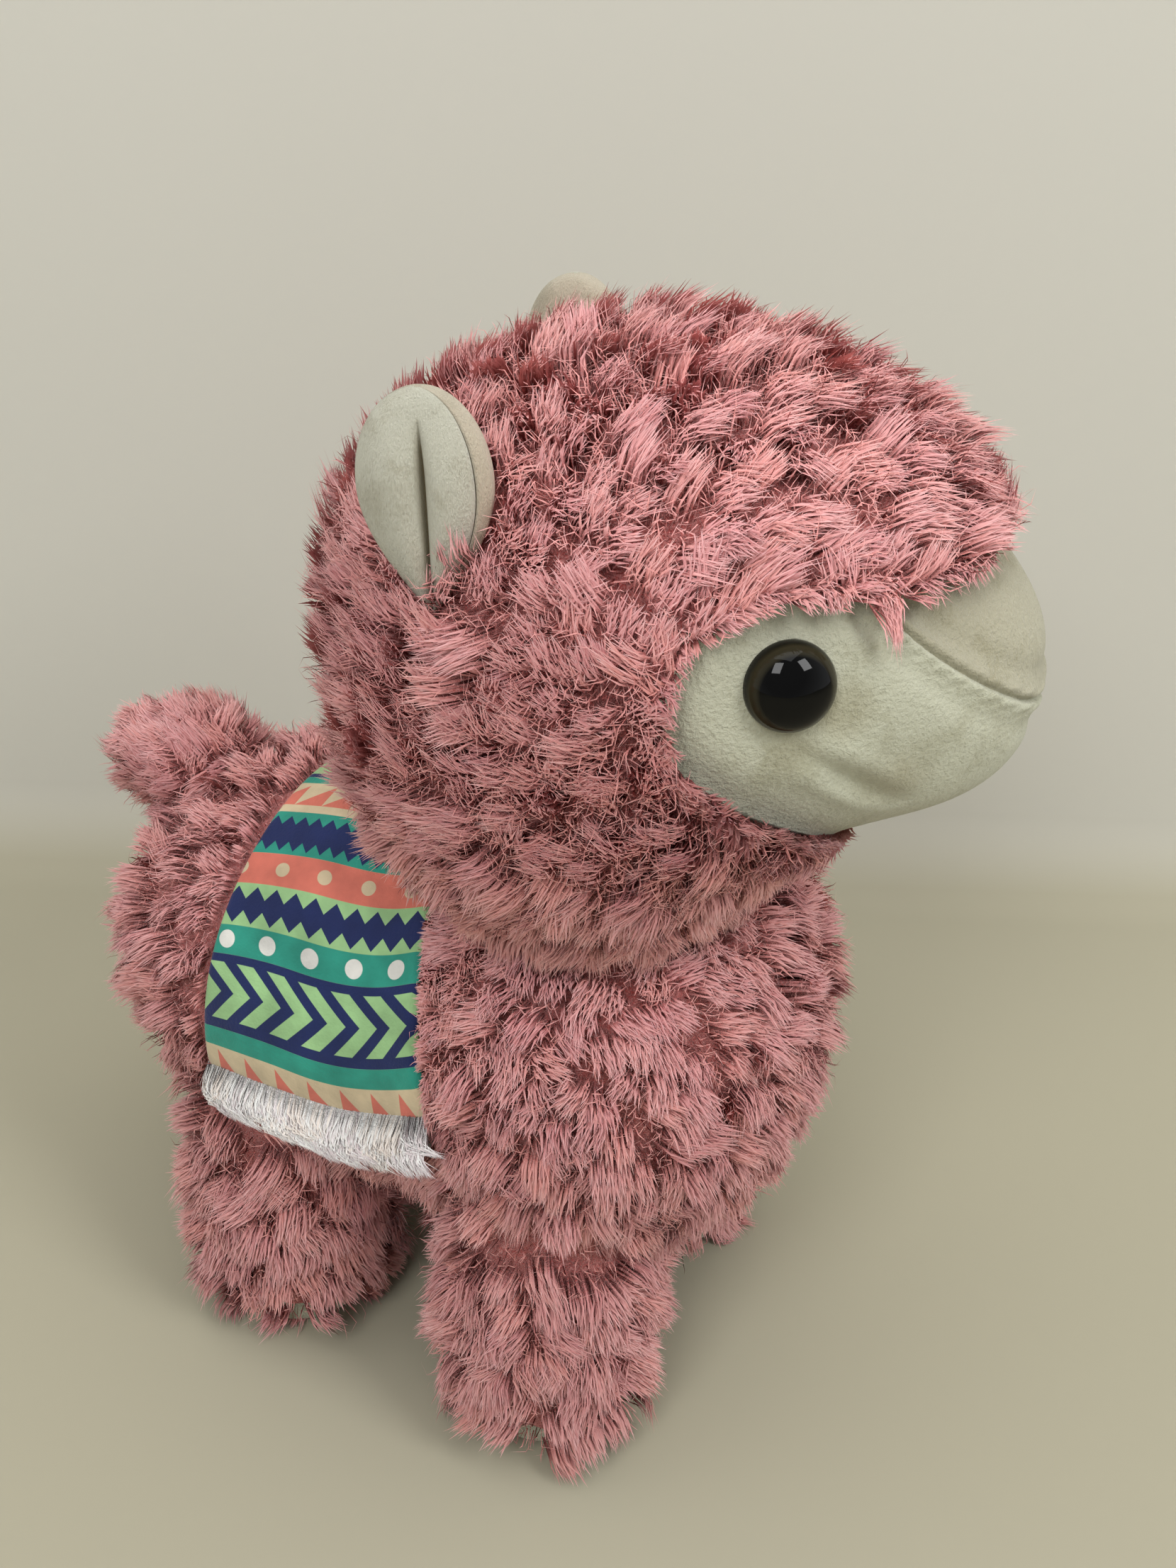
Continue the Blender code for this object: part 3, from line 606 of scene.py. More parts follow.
def along_line(corners, shares, smoothing=3):
    """Points at shares of a line's length, with its corners eased."""
    line = np.array(corners, float)
    for _ in range(smoothing):
        first = line[:-1] * 0.75 + line[1:] * 0.25
        second = line[:-1] * 0.25 + line[1:] * 0.75
        line = np.concatenate([line[:1], np.stack([first, second], 1).reshape(-1, 2)[1:-1], line[-1:]])
    length = np.append(0, np.linalg.norm(np.diff(line, axis=0), axis=1).cumsum())
    return np.stack([np.interp(shares * length[-1], length, line[:, k]) for k in range(2)], -1)


BRIDGE_HALF = np.array([(36, 27), (28.5, 18.5), (19, 10), (9, 4.5), (0, 3)], float)


def line_gap(angles, start, stop):
    """Share along a line on the face, and the distance from it in metres."""
    start = np.radians(start)
    way = np.radians(stop) - start
    share = np.clip(((angles - start) @ way) / (way @ way), 0, 1)
    return share, np.linalg.norm(angles - start - share[..., None] * way, axis=-1) * FACE_ARC


def ridge(gap, middle, width):
    """A soft ridge across a gap, 1 high at the middle."""
    return np.exp(-((gap - middle) / width) ** 2)


def face_relief(angles, seam_gap, edge_gap):
    """How far the stuffed minky swells or sinks, from the seams and the eyes' pull."""
    mirrored = np.stack([np.abs(angles[..., 0]), angles[..., 1]], -1)
    away = np.linalg.norm((mirrored - np.radians(EYE_ANGLES)) * (cos(EYE_LIFT), 1), axis=-1) * FACE_ARC
    relief = 0.0007 * ridge(away, 0.017, 0.0045) - 0.0008 * ridge(np.maximum(away, 0.0075), 0.0075, 0.0045)
    relief += 0.0004 * ridge(seam_gap, 0.0014, 0.0009) - 0.0012 * ridge(seam_gap, 0, 0.0005)
    relief -= 0.0009 * ridge(seam_gap, 0.0050, 0.0024) + 0.0003 * ridge(edge_gap, 0, 0.0035)
    share, crease = line_gap(mirrored, *CREASE_LINE)
    relief += 0.0009 * ridge(crease, 0.0036, 0.0020) * np.sin(pi * share)
    relief -= 0.0015 * ridge(crease, 0, 0.0015) * np.sin(pi * np.clip(share, 0.02, 1)) ** 0.5
    share, fold = line_gap(mirrored, *FOLD_LINE)
    return relief - 0.0008 * ridge(fold, 0, 0.0013) * np.sin(pi * np.clip(share, 0.02, 1)) ** 0.5


def slab_part(outer, inner, marks):
    """A closed sheet between two grids of points."""
    rows, columns = outer.shape[:2]
    index = np.arange(rows * columns).reshape(rows, columns)
    a, b, c, d = index[:-1, :-1], index[:-1, 1:], index[1:, 1:], index[1:, :-1]
    front = np.stack([a, b, c, d], -1).reshape(-1, 4)
    back = front[:, ::-1] + rows * columns
    ring = np.concatenate([index[:-1, 0], index[-1, :-1], index[:0:-1, -1], index[0, :0:-1]])
    ahead = np.roll(ring, -1)
    rim = np.stack([ring, ahead, ahead + rows * columns, ring + rows * columns], -1)
    points = np.concatenate([outer.reshape(-1, 3), inner.reshape(-1, 3)])
    flat = marks.reshape(-1, 2)
    return points, [np.concatenate([front, back, rim])], np.concatenate([flat, flat])


def minky_material(name, colour, shade, streak=(1, 1, 1), darker_spots=()):
    """Minky: a knitted polyester with pile about 1 mm long. It looks like matt velvet, with
    fine streaks where the pile lies down and paler patches where it has been brushed up."""
    material, shader = new_material(name, {"Roughness": 0.9, "Specular IOR Level": 0.2, "Sheen Weight": 0.5,
                                           "Sheen Roughness": 0.45, "Sheen Tint": linear("#fffff2")})
    place = add_node(material, "ShaderNodeTexCoord").outputs["Object"]
    turned = add_node(material, "ShaderNodeMapping", {"Vector": place, "Scale": streak})
    patches = add_node(material, "ShaderNodeTexNoise", {"Vector": place, "Scale": 1 / MINKY_PATCH,
                                                        "Detail": 3, "Distortion": 0.6})
    pile = add_node(material, "ShaderNodeTexNoise", {"Vector": turned, "Scale": 1 / MINKY_PILE, "Detail": 4,
                                                     "Roughness": 0.65})
    both = add_node(material, "ShaderNodeMath", (pile, 0.5, patches), operation="MULTIPLY_ADD")
    tone = add_node(material, "ShaderNodeValToRGB", {"Fac": both}, [(0.48, shade), (0.74, colour)])
    surface = tone.outputs["Color"]
    # Each spot darkens the colour toward a brownish tone, in blotches, fading out toward its size.
    for spot, size in darker_spots:
        away = add_node(material, "ShaderNodeVectorMath", (place, spot), operation="DISTANCE")
        spot_fade = add_node(material, "ShaderNodeMapRange",
                          {"Value": away.outputs["Value"], "From Min": size * 0.3, "From Max": size,
                           "To Min": 0.75, "To Max": 0.0})
        spot_blotch = add_node(material, "ShaderNodeMath", (spot_fade, patches), operation="MULTIPLY")
        surface = add_node(material, "ShaderNodeMix", {"Factor": spot_blotch, "A": surface, "B": SPOT_BROWN},
                           **MULTIPLIED).outputs["Result"]
    finish_surface(material, shader, surface, pile, 0.9, MINKY_NAP)
    return material


cream_minky = minky_material("cream minky", MINKY_CREAM, MINKY_SHADE)
beige_minky = minky_material("beige minky", BRIDGE_BEIGE, BRIDGE_SHADE)


def skin_points(angles, grow, relief=0.0):
    ways = ways_of(angles).reshape(-1, 3)
    far = reach(head_skin_form, np.zeros(3), ways, grow)
    far = far.reshape(angles.shape[:-1]) + relief
    return ways.reshape(*angles.shape[:-1], 3) * far[..., None]


# Three given spots on the right cheek, below and before the eye and along the crease, are darkened toward a
# brownish tone.
darker_spot_angles = np.radians([(-43, 12), (-51, 5), (-31, -3)])
darker_spot_places = list(zip(from_head(skin_points(darker_spot_angles, MINKY_DEPTH)), (0.008, 0.007, 0.010)))
spotted_minky = minky_material("cream minky with darker spots", MINKY_CREAM, MINKY_SHADE,
                              darker_spots=darker_spot_places)


def gaps_from(angles):
    """Distance in metres from the nose seam and from the edge of the fur."""
    mirrored = np.stack([np.abs(angles[..., 0]), angles[..., 1]], -1).reshape(-1, 2)
    seam = np.abs(edge_distance(mirrored, seam_ring))
    edge = np.abs(edge_distance(mirrored, face_ring))
    return seam.reshape(angles.shape[:-1]) * SEAM_ARC, edge.reshape(angles.shape[:-1]) * HEAD_ARC


def minky_sheet(angles, relief):
    """The outer and inner face of the cloth on the stuffed head."""
    return [from_head(skin_points(angles, MINKY_DEPTH - depth, relief)) for depth in (0, MINKY_CLOTH)]


CHEEK_ROWS, CHEEK_COLUMNS = 120, 66
UNDER_FUR = 4
SEAM_TOP = (38, 31)
CHIN_FOOT = (0, -36)
HEAD_ARC = 0.060
shares = np.linspace(0.004, 0.985, CHEEK_ROWS)
face_middle = np.array([20, 4])
under_line = FACE_HALF[2:] + (FACE_HALF[2:] - face_middle) / 50 * UNDER_FUR
outer_line = along_line([SEAM_TOP, *under_line[:-1], CHIN_FOOT], shares)
inner_line = along_line([SEAM_TOP, *BRIDGE_HALF, (0, -12), CHIN_FOOT], shares)
bridge_side = along_line(BRIDGE_HALF[::-1], np.linspace(0, 1, 200))
side_at_lift = np.interp(inner_line[:, 1], bridge_side[:, 1], bridge_side[:, 0])
inner_line[:, 0] = np.where(inner_line[:, 1] > BRIDGE_HALF[0, 1], inner_line[:, 0], side_at_lift)
across = np.linspace(0, 1, CHEEK_COLUMNS) ** 1.5
cheek_angles = np.radians(inner_line[:, None] + (outer_line - inner_line)[:, None] * across[None, :, None])
seam_line = np.radians(along_line(BRIDGE_HALF, np.linspace(0, 1, 60)))
seam_ring = np.concatenate([seam_line, seam_line[::-1] + 1e-5])
cheek_seam, cheek_edge = gaps_from(cheek_angles)
cheek_relief = face_relief(cheek_angles, cheek_seam, cheek_edge)
below_seam = cheek_angles[..., 1] < radians(6)
cheek_relief -= 0.0010 * ridge(cheek_angles[..., 0] * 0.07, 0, 0.0010) * below_seam
pucker = np.sin(2 * pi * cheek_angles[..., 1] * HEAD_ARC / STITCH_SPACING)
cheek_relief += 0.00022 * pucker * ridge(cheek_seam, 0.0018, 0.0015)
for side, sign in (("left", 1), ("right", -1)):
    outer, inner = minky_sheet(cheek_angles * (sign, 1), cheek_relief)
    if sign > 0:
        outer, inner = outer[:, ::-1], inner[:, ::-1]
    marks = np.stack(np.meshgrid(across, shares), -1)
    piece = new_piece("cheek_panel_" + side, [slab_part(outer, inner, marks)],
                      cream_minky if sign > 0 else spotted_minky)
    stand_in(piece, "cheek_" + side)

BRIDGE_ROWS, BRIDGE_COLUMNS = 64, 72
BROW_SWELL = radians(1.5)
rises = np.linspace(0.01, 1, BRIDGE_ROWS)
edge_line = np.radians(along_line([*BRIDGE_HALF[::-1], SEAM_TOP], rises))
swing = np.sin(np.linspace(-pi / 2, pi / 2, BRIDGE_COLUMNS))
bridge_angles = np.stack([edge_line[:, None, 0] * swing,
                          edge_line[:, None, 1] + BROW_SWELL * (1 - swing ** 2) * rises[:, None]], -1)
bridge_seam, bridge_edge = gaps_from(bridge_angles)
bridge_relief = face_relief(bridge_angles, bridge_seam, bridge_edge)
pucker = np.sin(2 * pi * bridge_angles[..., 1] * HEAD_ARC / STITCH_SPACING)
bridge_relief += 0.00018 * pucker * ridge(bridge_seam, 0.0016, 0.0013)
marks = np.stack(np.meshgrid((swing + 1) / 2, rises), -1)
bridge_faces = minky_sheet(bridge_angles, bridge_relief)
bridge = new_piece("nose_bridge_panel", [slab_part(*bridge_faces, marks)], beige_minky)
stand_in(bridge, "nose_bridge")

# Eyes
# Safety eyes of 18 mm, moulded in acrylic with a black pupil under a clear dome and a dark
# olive ring round it. A ribbed stem goes through the cheek into a locking washer inside.
EYE_DIAMETER = 0.018
EYE_DOME = 0.0060
EYE_SINK = 0.0012
EYE_BED = 0.0012
PUPIL_SHARE = 0.79
EYE_SEGMENTS = 72
EYE_ROUND = 0.0004
STEM_LENGTH = 0.011
STEM_RADIUS = 0.0025
WASHER_GRAIN = 0.00111


def turned_part(profile, segments):
    """A solid of revolution about Z that starts and ends on the axis, marked by angle and radius."""
    profile = np.array(profile)
    rings = profile[1:-1]
    angles = np.linspace(0, 2 * pi, segments, endpoint=False)
    circle = np.stack([np.cos(angles), np.sin(angles)], -1)
    points = np.concatenate([(rings[:, None, :1] * circle), np.repeat(rings[:, None, 1:], segments, 1)], -1)
    index = np.arange(len(rings) * segments).reshape(len(rings), segments)
    ahead = np.roll(index, -1, 1)
    walls = np.stack([index[:-1], ahead[:-1], ahead[1:], index[1:]], -1).reshape(-1, 4)
    foot = len(rings) * segments
    caps = np.concatenate([np.stack([ahead[0], index[0], np.full(segments, foot)], -1),
                           np.stack([index[-1], ahead[-1], np.full(segments, foot + 1)], -1)])
    points = np.concatenate([points.reshape(-1, 3), [(0, 0, profile[0, 1]), (0, 0, profile[-1, 1])]])
    wide = rings[:, 0].max()
    marks = np.stack([np.tile(angles / (2 * pi), len(rings)), np.repeat(rings[:, 0] / wide, segments)], -1)
    marks = np.concatenate([marks, [(0.5, 0), (0.5, 0)]])
    return points, [walls, caps], marks


def seat_on(form, way, grow):
    """Where a piece stands on a form, and its turn, with its Z out of the form."""
    point = way * reach(form, np.zeros(3), way[None], grow)[0]
    out = Vector(slope(lambda p: form(p, grow), point[None])[0]).normalized()
    return Matrix.Translation(point) @ out.to_track_quat("Z", "Y").to_matrix().to_4x4()


# Polished acrylic: glossy and nearly black, with an olive rim where light enters the dome.
eye_plastic, eye_shader = new_material("moulded acrylic eye", {"Roughness": 0.04, "IOR": 1.49,
                                                               "Specular IOR Level": 0.18})
eye_mark = add_node(eye_plastic, "ShaderNodeUVMap", uv_map="OFBake")
eye_parts = add_node(eye_plastic, "ShaderNodeSeparateXYZ", {"Vector": eye_mark})
eye_ring = add_node(eye_plastic, "ShaderNodeValToRGB", {"Fac": eye_parts.outputs["Y"]},
                    [(0.0, "#050505"), (PUPIL_SHARE - 0.04, "#060606"), (PUPIL_SHARE + 0.03, "#2a271c"),
                     (0.93, "#353123"), (0.98, "#15130e")])
finish_surface(eye_plastic, eye_shader, eye_ring.outputs["Color"])

eye_radius = EYE_DIAMETER / 2
eye_profile = [(0, -STEM_LENGTH), (STEM_RADIUS, -STEM_LENGTH), (STEM_RADIUS, -EYE_SINK),
               (eye_radius - EYE_ROUND, -EYE_SINK), (eye_radius, EYE_ROUND - EYE_SINK)]
eye_profile += [(eye_radius * cos(a), EYE_DOME * sin(a)) for a in np.radians(np.linspace(0, 88, 18))]
eye_profile += [(0, EYE_DOME)]
# Natural polypropylene: a milky white with a soft gloss.
washer_plastic, washer_shader = new_material("moulded polypropylene washer", {"Roughness": 0.45})
washer_place = add_node(washer_plastic, "ShaderNodeTexCoord").outputs["Object"]
washer_noise = add_node(washer_plastic, "ShaderNodeTexNoise",
                        {"Vector": washer_place, "Scale": 1 / WASHER_GRAIN})
washer_tone = add_node(washer_plastic, "ShaderNodeValToRGB", {"Fac": washer_noise},
                       [(0.3, "#dcdcd8"), (0.7, "#e8e8e4")])
finish_surface(washer_plastic, washer_shader, washer_tone.outputs["Color"], washer_noise, 0.1, 0.0001)
head_matrix = Matrix.Translation(head_centre) @ Euler((0, HEAD_TILT, HEAD_TURN)).to_matrix().to_4x4()
for side, sign in (("left", 1), ("right", -1)):
    eye = new_piece("safety_eye_" + side, [turned_part(eye_profile, EYE_SEGMENTS)], eye_plastic)
    way = ways_of(np.array([EYE_SIDE * sign, EYE_LIFT]))
    eye.matrix_world = head_matrix @ seat_on(head_skin_form, way, MINKY_DEPTH - EYE_BED)
    stand_in(eye, "eye_" + side)
    dress("eye_washer_" + side, washer_plastic)

# Ears
# Each ear is a cream minky front and a beige back sewn together and turned out, lightly
# stuffed by their own seam allowance, and folded in half at the root to leave a deep crease.
EAR_LOBE = 0.0068
EAR_BACK = 0.0060
EAR_CLOTH = 0.0016
EAR_WAIST = 0.64
CREASE_SHIFT = 0.05
# Painted shade down the ear's crease.
CREASE_SHADE = "#9d8a66"
EAR_STEM = 0.06
EAR_FLARE = 0.12
CREASE_TOP = 0.90
SEAM_TURN = 0.60
SEAM_GAP = 0.01
EAR_STREAK = (3.2, 3.2, 1)
EAR_ROWS, EAR_COLUMNS = 56, 44
low_rows = np.linspace(0, EAR_WAIST, EAR_ROWS // 2, endpoint=False)
high_turn = np.radians(np.linspace(0, 88, EAR_ROWS // 2))
ear_height = np.append(low_rows, EAR_WAIST + (1 - EAR_WAIST) * np.sin(high_turn))
low_half = np.sin(pi / 2 * np.clip((low_rows - EAR_FLARE) / (EAR_WAIST - EAR_FLARE), 0, 1))
ear_half = np.append(np.maximum(low_half, EAR_STEM), np.cos(high_turn))


def ear_surface(turns, inward):
    """A grid round the ear's section, from -1 at the rear edge over the front to 1 at the forward
    edge, and on over the back to 3. It lies inward of the outside by a depth."""
    full = ear_half[:, None] ** 0.6
    over_back = turns[None] > 1
    swing = np.where(turns > 1, 2 - turns, turns)
    across = np.sin(swing * pi / 2)[None]
    open_top = np.clip((CREASE_TOP - ear_height[:, None]) / 0.20, 0, 1) ** 0.6
    rounded = np.sqrt(np.maximum(1 - across ** 4, 0))
    lobes = np.sin(pi * np.clip(np.abs(across - CREASE_SHIFT) / (1 + CREASE_SHIFT), 0, 1) ** 0.6) ** 0.6
    front = EAR_LOBE * full * (0.8 * rounded * (1 - open_top) + lobes * open_top)
    behind = -EAR_BACK * full * rounded
    off = np.where(over_back, behind, front)
    off = off - np.sign(off) * np.minimum(inward, np.abs(off))
    wide = across * np.maximum(ear_half[:, None] * EAR_WIDTH / 2 - inward * 0.6, 0.0002)
    tall = ear_height[:, None] * (EAR_HEIGHT - inward * 0.6) - EAR_ROOT
    return np.stack([wide, -off, np.repeat(tall, len(turns), 1)], -1)


ear_minky = minky_material("cream minky of the ears", "#cfcdbb", "#aca68f", EAR_STREAK)
crease_turn = np.arcsin(CREASE_SHIFT) / (pi / 2)
# Painted shade: the ear front darkens to a brownish tone along its middle crease, below the crease's top,
# where the fold shades it.
crease_mark = add_node(ear_minky, "ShaderNodeUVMap", uv_map="OFBake")
crease_parts = add_node(ear_minky, "ShaderNodeSeparateXYZ", {"Vector": crease_mark})
crease_shade_across = add_node(ear_minky, "ShaderNodeValToRGB", {"Fac": crease_parts.outputs["X"]},
                         [(0.40, "#ffffff"), (0.5, CREASE_SHADE), (0.60, "#ffffff")])
crease_shade_below = add_node(ear_minky, "ShaderNodeMapRange",
                        {"Value": crease_parts.outputs["Y"], "From Min": 0.78, "From Max": 0.88,
                         "To Min": 1.0, "To Max": 0.0})
ear_colour = ear_minky.node_tree.nodes["Principled BSDF"].inputs["Base Color"]
crease_shaded = add_node(ear_minky, "ShaderNodeMix",
                   {"Factor": crease_shade_below, "A": ear_colour.links[0].from_socket, "B": crease_shade_across},
                   **MULTIPLIED).outputs["Result"]
ear_minky.node_tree.links.new(crease_shaded, ear_colour)
ear_back_minky = minky_material("beige minky of the ear backs", "#cbbfa8", "#a89d84", EAR_STREAK)
for side, sign in (("left", 1), ("right", -1)):
    seat, turn = ear_seats[sign]
    for panel, first, last, material in (("front", -1, SEAM_TURN, ear_minky),
                                         ("back", SEAM_TURN, 3, ear_back_minky)):
        run = np.linspace(-1, 1, EAR_COLUMNS)
        if panel == "front":
            run = run * (0.3 + 0.7 * run ** 2)
            reach_each = np.where(run < 0, crease_turn - first, last - crease_turn)
            turns = crease_turn + run * (reach_each - SEAM_GAP)
        else:
            turns = (first + last) / 2 + run * ((last - first) / 2 - SEAM_GAP)
        outer, inner = (ear_surface(turns, inward) * (-sign, 1, 1) for inward in (0, EAR_CLOTH))
        if sign > 0:
            outer, inner = outer[:, ::-1], inner[:, ::-1]
        outer, inner = (from_head(face @ turn.T + seat) for face in (outer, inner))
        ear_marks = np.stack(np.meshgrid(np.linspace(0, 1, EAR_COLUMNS), ear_height), -1)
        piece = new_piece(f"ear_{panel}_panel_{side}", [slab_part(outer, inner, ear_marks)], material)
        stand_in(piece, f"ear_{panel}_{side}")

# Body fur
# A left and a right panel of the same plush, sewn along the back and the belly and closed
# round the neck. The pile here is a little shorter and lies down and outward.
BLANKET_LENGTH = 0.196
BLANKET_WIDTH = 0.067
BLANKET_SPINE_WIDTH = 0.046
BLANKET_REAR = 0.056
TRIM_DROP = 0.012
GIRTH_ARC = 0.057
COLLAR_HEIGHT = NECK_HEIGHT + 0.004
body_middle = (CHEST_CENTRE + RUMP_CENTRE) / 2
girth_axis = RUMP_CENTRE[2]


def girth_points(stretch, shares, grow):
    """Points on the body at stretches around it from the spine, from the rear edge to the front."""
    taper = np.clip(np.abs(stretch) / (BLANKET_LENGTH / 2), 0, 1)
    width = BLANKET_SPINE_WIDTH + (BLANKET_WIDTH - BLANKET_SPINE_WIDTH) * taper
    y = BLANKET_REAR - np.outer(shares, width) + stand[1]
    swing = np.radians(np.linspace(-150, 150, 101))
    ways = np.stack([np.sin(swing), np.zeros(101), np.cos(swing)], -1)
    middle = np.stack([np.full(y.shape, stand[0]), y, np.full(y.shape, girth_axis)], -1)
    rings = np.repeat(middle[..., None, :], 101, axis=-2).reshape(-1, 3)
    around = np.tile(ways, (y.size, 1))
    rings = (rings + around * reach(body_form, rings, around)[:, None]).reshape(*y.shape, 101, 3)
    length = np.linalg.norm(np.diff(rings, axis=-2), axis=-1).cumsum(-1)
    length = np.concatenate([np.zeros((*y.shape, 1)), length], -1)
    length -= length[..., 50:51]
    angle = np.array([[np.interp(stretch[c], length[r, c], swing) for c in range(len(stretch))]
                      for r in range(len(shares))])
    there = np.stack([np.sin(angle), np.zeros(angle.shape), np.cos(angle)], -1)
    out = reach(body_form, middle.reshape(-1, 3), there.reshape(-1, 3), grow)
    return middle + there * out.reshape(*y.shape, 1)


def girth_map(points):
    """Flat places around the body: the arc from the spine, and the place along the back."""
    turn = np.arctan2(points[..., 0] - stand[0], points[..., 2] - girth_axis)
    return np.stack([turn * GIRTH_ARC, points[..., 1]], -1)


hem = BLANKET_LENGTH / 2
edge_stretch = np.linspace(-hem - TRIM_DROP, hem + TRIM_DROP, 61)
blanket_edges = girth_points(edge_stretch, np.array([0.0, 1.0]), 0)
blanket_ring = girth_map(np.concatenate([blanket_edges[0], blanket_edges[1][::-1]]))


def on_body(points):
    """Where the body has pile: below the neck, outside the head, and clear of the blanket."""
    return ((points[:, 2] < COLLAR_HEIGHT) & (head_fur_form(to_head(points)) > -0.006)
            & (edge_distance(girth_map(points), blanket_ring) > 0.0005))


def body_lie(points):
    out = unit(points - body_middle)
    return np.array([0, 0.15, -1.0]) + out * (0.2, 0.6, 0)


BODY_TUFTS = 1500
BODY_STRANDS = 62
FLATTENED_REACH = 0.014
BODY_UNDERFUR = 30000
body_strands = joined(
    tufts(body_form, body_middle, BODY_TUFTS, BODY_STRANDS, body_lie, 0.0062, 0.0040, 0.0042, 21, 0.8),
    underfur(body_form, body_middle, BODY_UNDERFUR, 0.0060, 22))
body_strands = chosen(body_strands, on_body(body_strands[0][:, 0]))
body_strands = shorten(body_strands, girth_map, blanket_ring, 0.001)
body_roots = body_strands[0][:, :1]
from_blanket = edge_distance(girth_map(body_roots[:, 0]), blanket_ring)
flattened = 0.5 + 0.5 * np.clip(from_blanket / FLATTENED_REACH, 0, 1)
body_strands[0] = body_roots + (body_strands[0] - body_roots) * flattened[:, None, None]
for side, sign in (("left", 1), ("right", -1)):
    pile = ribbons(chosen(body_strands, (body_roots[:, 0, 0] - stand[0]) * sign > 0), STRAND_WIDTH, 23)
    ground = backing(body_form, body_middle, -PILE_ROOT, lambda points: (points[:, 2] < COLLAR_HEIGHT)
                     & ((points[:, 0] - stand[0]) * sign > 0))
    piece = new_piece("body_fur_panel_" + side, [ground, pile], pink_fur)
    stand_in(piece, "body_fur_" + side)

# Legs
# Each leg is a stuffed tube of the plush, closed at the foot by a round cream sole. Its
# tufts are bigger and point down and outward, and the longest hang over the sole's edge.
FOOT_DIAMETER = 0.038
FOOT_HEIGHT = 0.012
LEG_RADIUS = 0.0275
LEG_TOP = 0.099
FUR_HEM = 0.005
LEG_TUFTS = 210
LEG_STRANDS = 62
LEG_UNDERFUR = 4000
LEG_TAPER = np.array([(0, 0.90), (0.05, 0.97), (0.19, 1.0), (0.34, 1.0), (0.49, 0.97), (0.62, 0.93),
                      (1.0, 0.90)])


def leg_form(points, grow=0.0):
    """An upright stuffed tube with a rounded foot."""
    share = np.clip((points[..., 2] - FUR_HEM) / (LEG_TOP - FUR_HEM), -0.2, 1.2)
    radius = np.interp(share, LEG_TAPER[:, 0], LEG_TAPER[:, 1]) * LEG_RADIUS
    round_part = np.linalg.norm(points[..., :2], axis=-1) - radius
    low = FUR_HEM - points[..., 2]
    high = points[..., 2] - LEG_TOP
    return np.maximum(np.maximum(round_part, low), high) - grow


def leg_lie(points):
    return np.array([0, 0, -1.0]) + unit(points * (1, 1, 0)) * 0.2


def foot_middle(end, side):
    """The point on the floor under the middle of a foot."""
    low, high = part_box(f"foot_{end}_{side}")
    return np.array([(low.x + high.x) / 2, (low.y + high.y) / 2, 0])


leg_middle = np.array([0, 0, 0.045])
for end in ("front", "rear"):
    for side, sign in (("left", 1), ("right", -1)):
        foot = foot_middle(end, side)
        seed = 31 + 2 * (end == "rear") + (sign > 0)
        leg_strands = joined(
            tufts(leg_form, leg_middle, LEG_TUFTS, LEG_STRANDS, leg_lie, 0.0074, 0.0044, 0.0045, seed),
            underfur(leg_form, leg_middle, LEG_UNDERFUR, 0.0060, seed + 5))
        roots = leg_strands[0][:, 0]
        outside = body_form(roots + foot) > -0.004
        leg_strands = chosen(leg_strands, (roots[:, 2] > FUR_HEM + 0.0015) & outside)
        under_cloth = edge_distance(girth_map(leg_strands[0][:, -1] + foot), blanket_ring) < 0.001
        leg_strands = chosen(leg_strands, ~under_cloth)
        leg_strands[0][..., 2] = np.maximum(leg_strands[0][..., 2], 0.0012)
        pile = ribbons(leg_strands, STRAND_WIDTH * 1.1, seed + 10)
        ground = backing(leg_form, leg_middle, -PILE_ROOT,
                         lambda points: body_form(points + foot) > -0.014, 4)
        parts = [(part[0] + foot, *part[1:]) for part in (ground, pile)]
        piece = new_piece(f"leg_fur_panel_{end}_{side}", parts, pink_fur)
        stand_in(piece, f"leg_fur_{end}_{side}")

# Feet
# A round sole of cream minky closes each leg. The stuffing presses it flat where it stands
# and rounds its edge, which is sewn to the fur a few millimetres up.
SOLE_ROUND = 0.0045
SOLE_WALL = 0.0025
SOLE_BED = 0.0035
SOLE_SEGMENTS = 48
foot_radius = FOOT_DIAMETER / 2
foot_profile = [(0, 0), (foot_radius * 0.4, 0)]
foot_profile += [(foot_radius - SOLE_ROUND * (1 - sin(a)), SOLE_ROUND * (1 - cos(a)))
                 for a in np.radians(np.linspace(0, 90, 8))]
foot_profile += [(foot_radius, FOOT_HEIGHT), (foot_radius - SOLE_WALL, FOOT_HEIGHT),
                 (foot_radius - SOLE_WALL, SOLE_BED), (0, SOLE_BED)]
for end in ("front", "rear"):
    for side in ("left", "right"):
        sole = new_piece(f"foot_sole_{end}_{side}", [turned_part(foot_profile, SOLE_SEGMENTS)], cream_minky)
        sole.location = foot_middle(end, side)
        stand_in(sole, f"foot_{end}_{side}")

# Tail
# A small stuffed tag of the same plush, sewn into the back seam. It stands up a little and
# ends in a loose brush of pile.
TAIL = np.array([0.032, 0.046, 0.026]) / 2
TAIL_LIFT = radians(24)
TAIL_OUT = 0.012
TAIL_UP = -0.001
TAIL_TUFTS = 130
TAIL_STRANDS = 64
TAIL_UNDERFUR = 1500


def tail_form(points, grow=0.0):
    return ellipsoid(points, np.zeros(3), TAIL + grow)


def tail_lie(points):
    return np.tile([0, 1.0, 0.25], (len(points), 1))


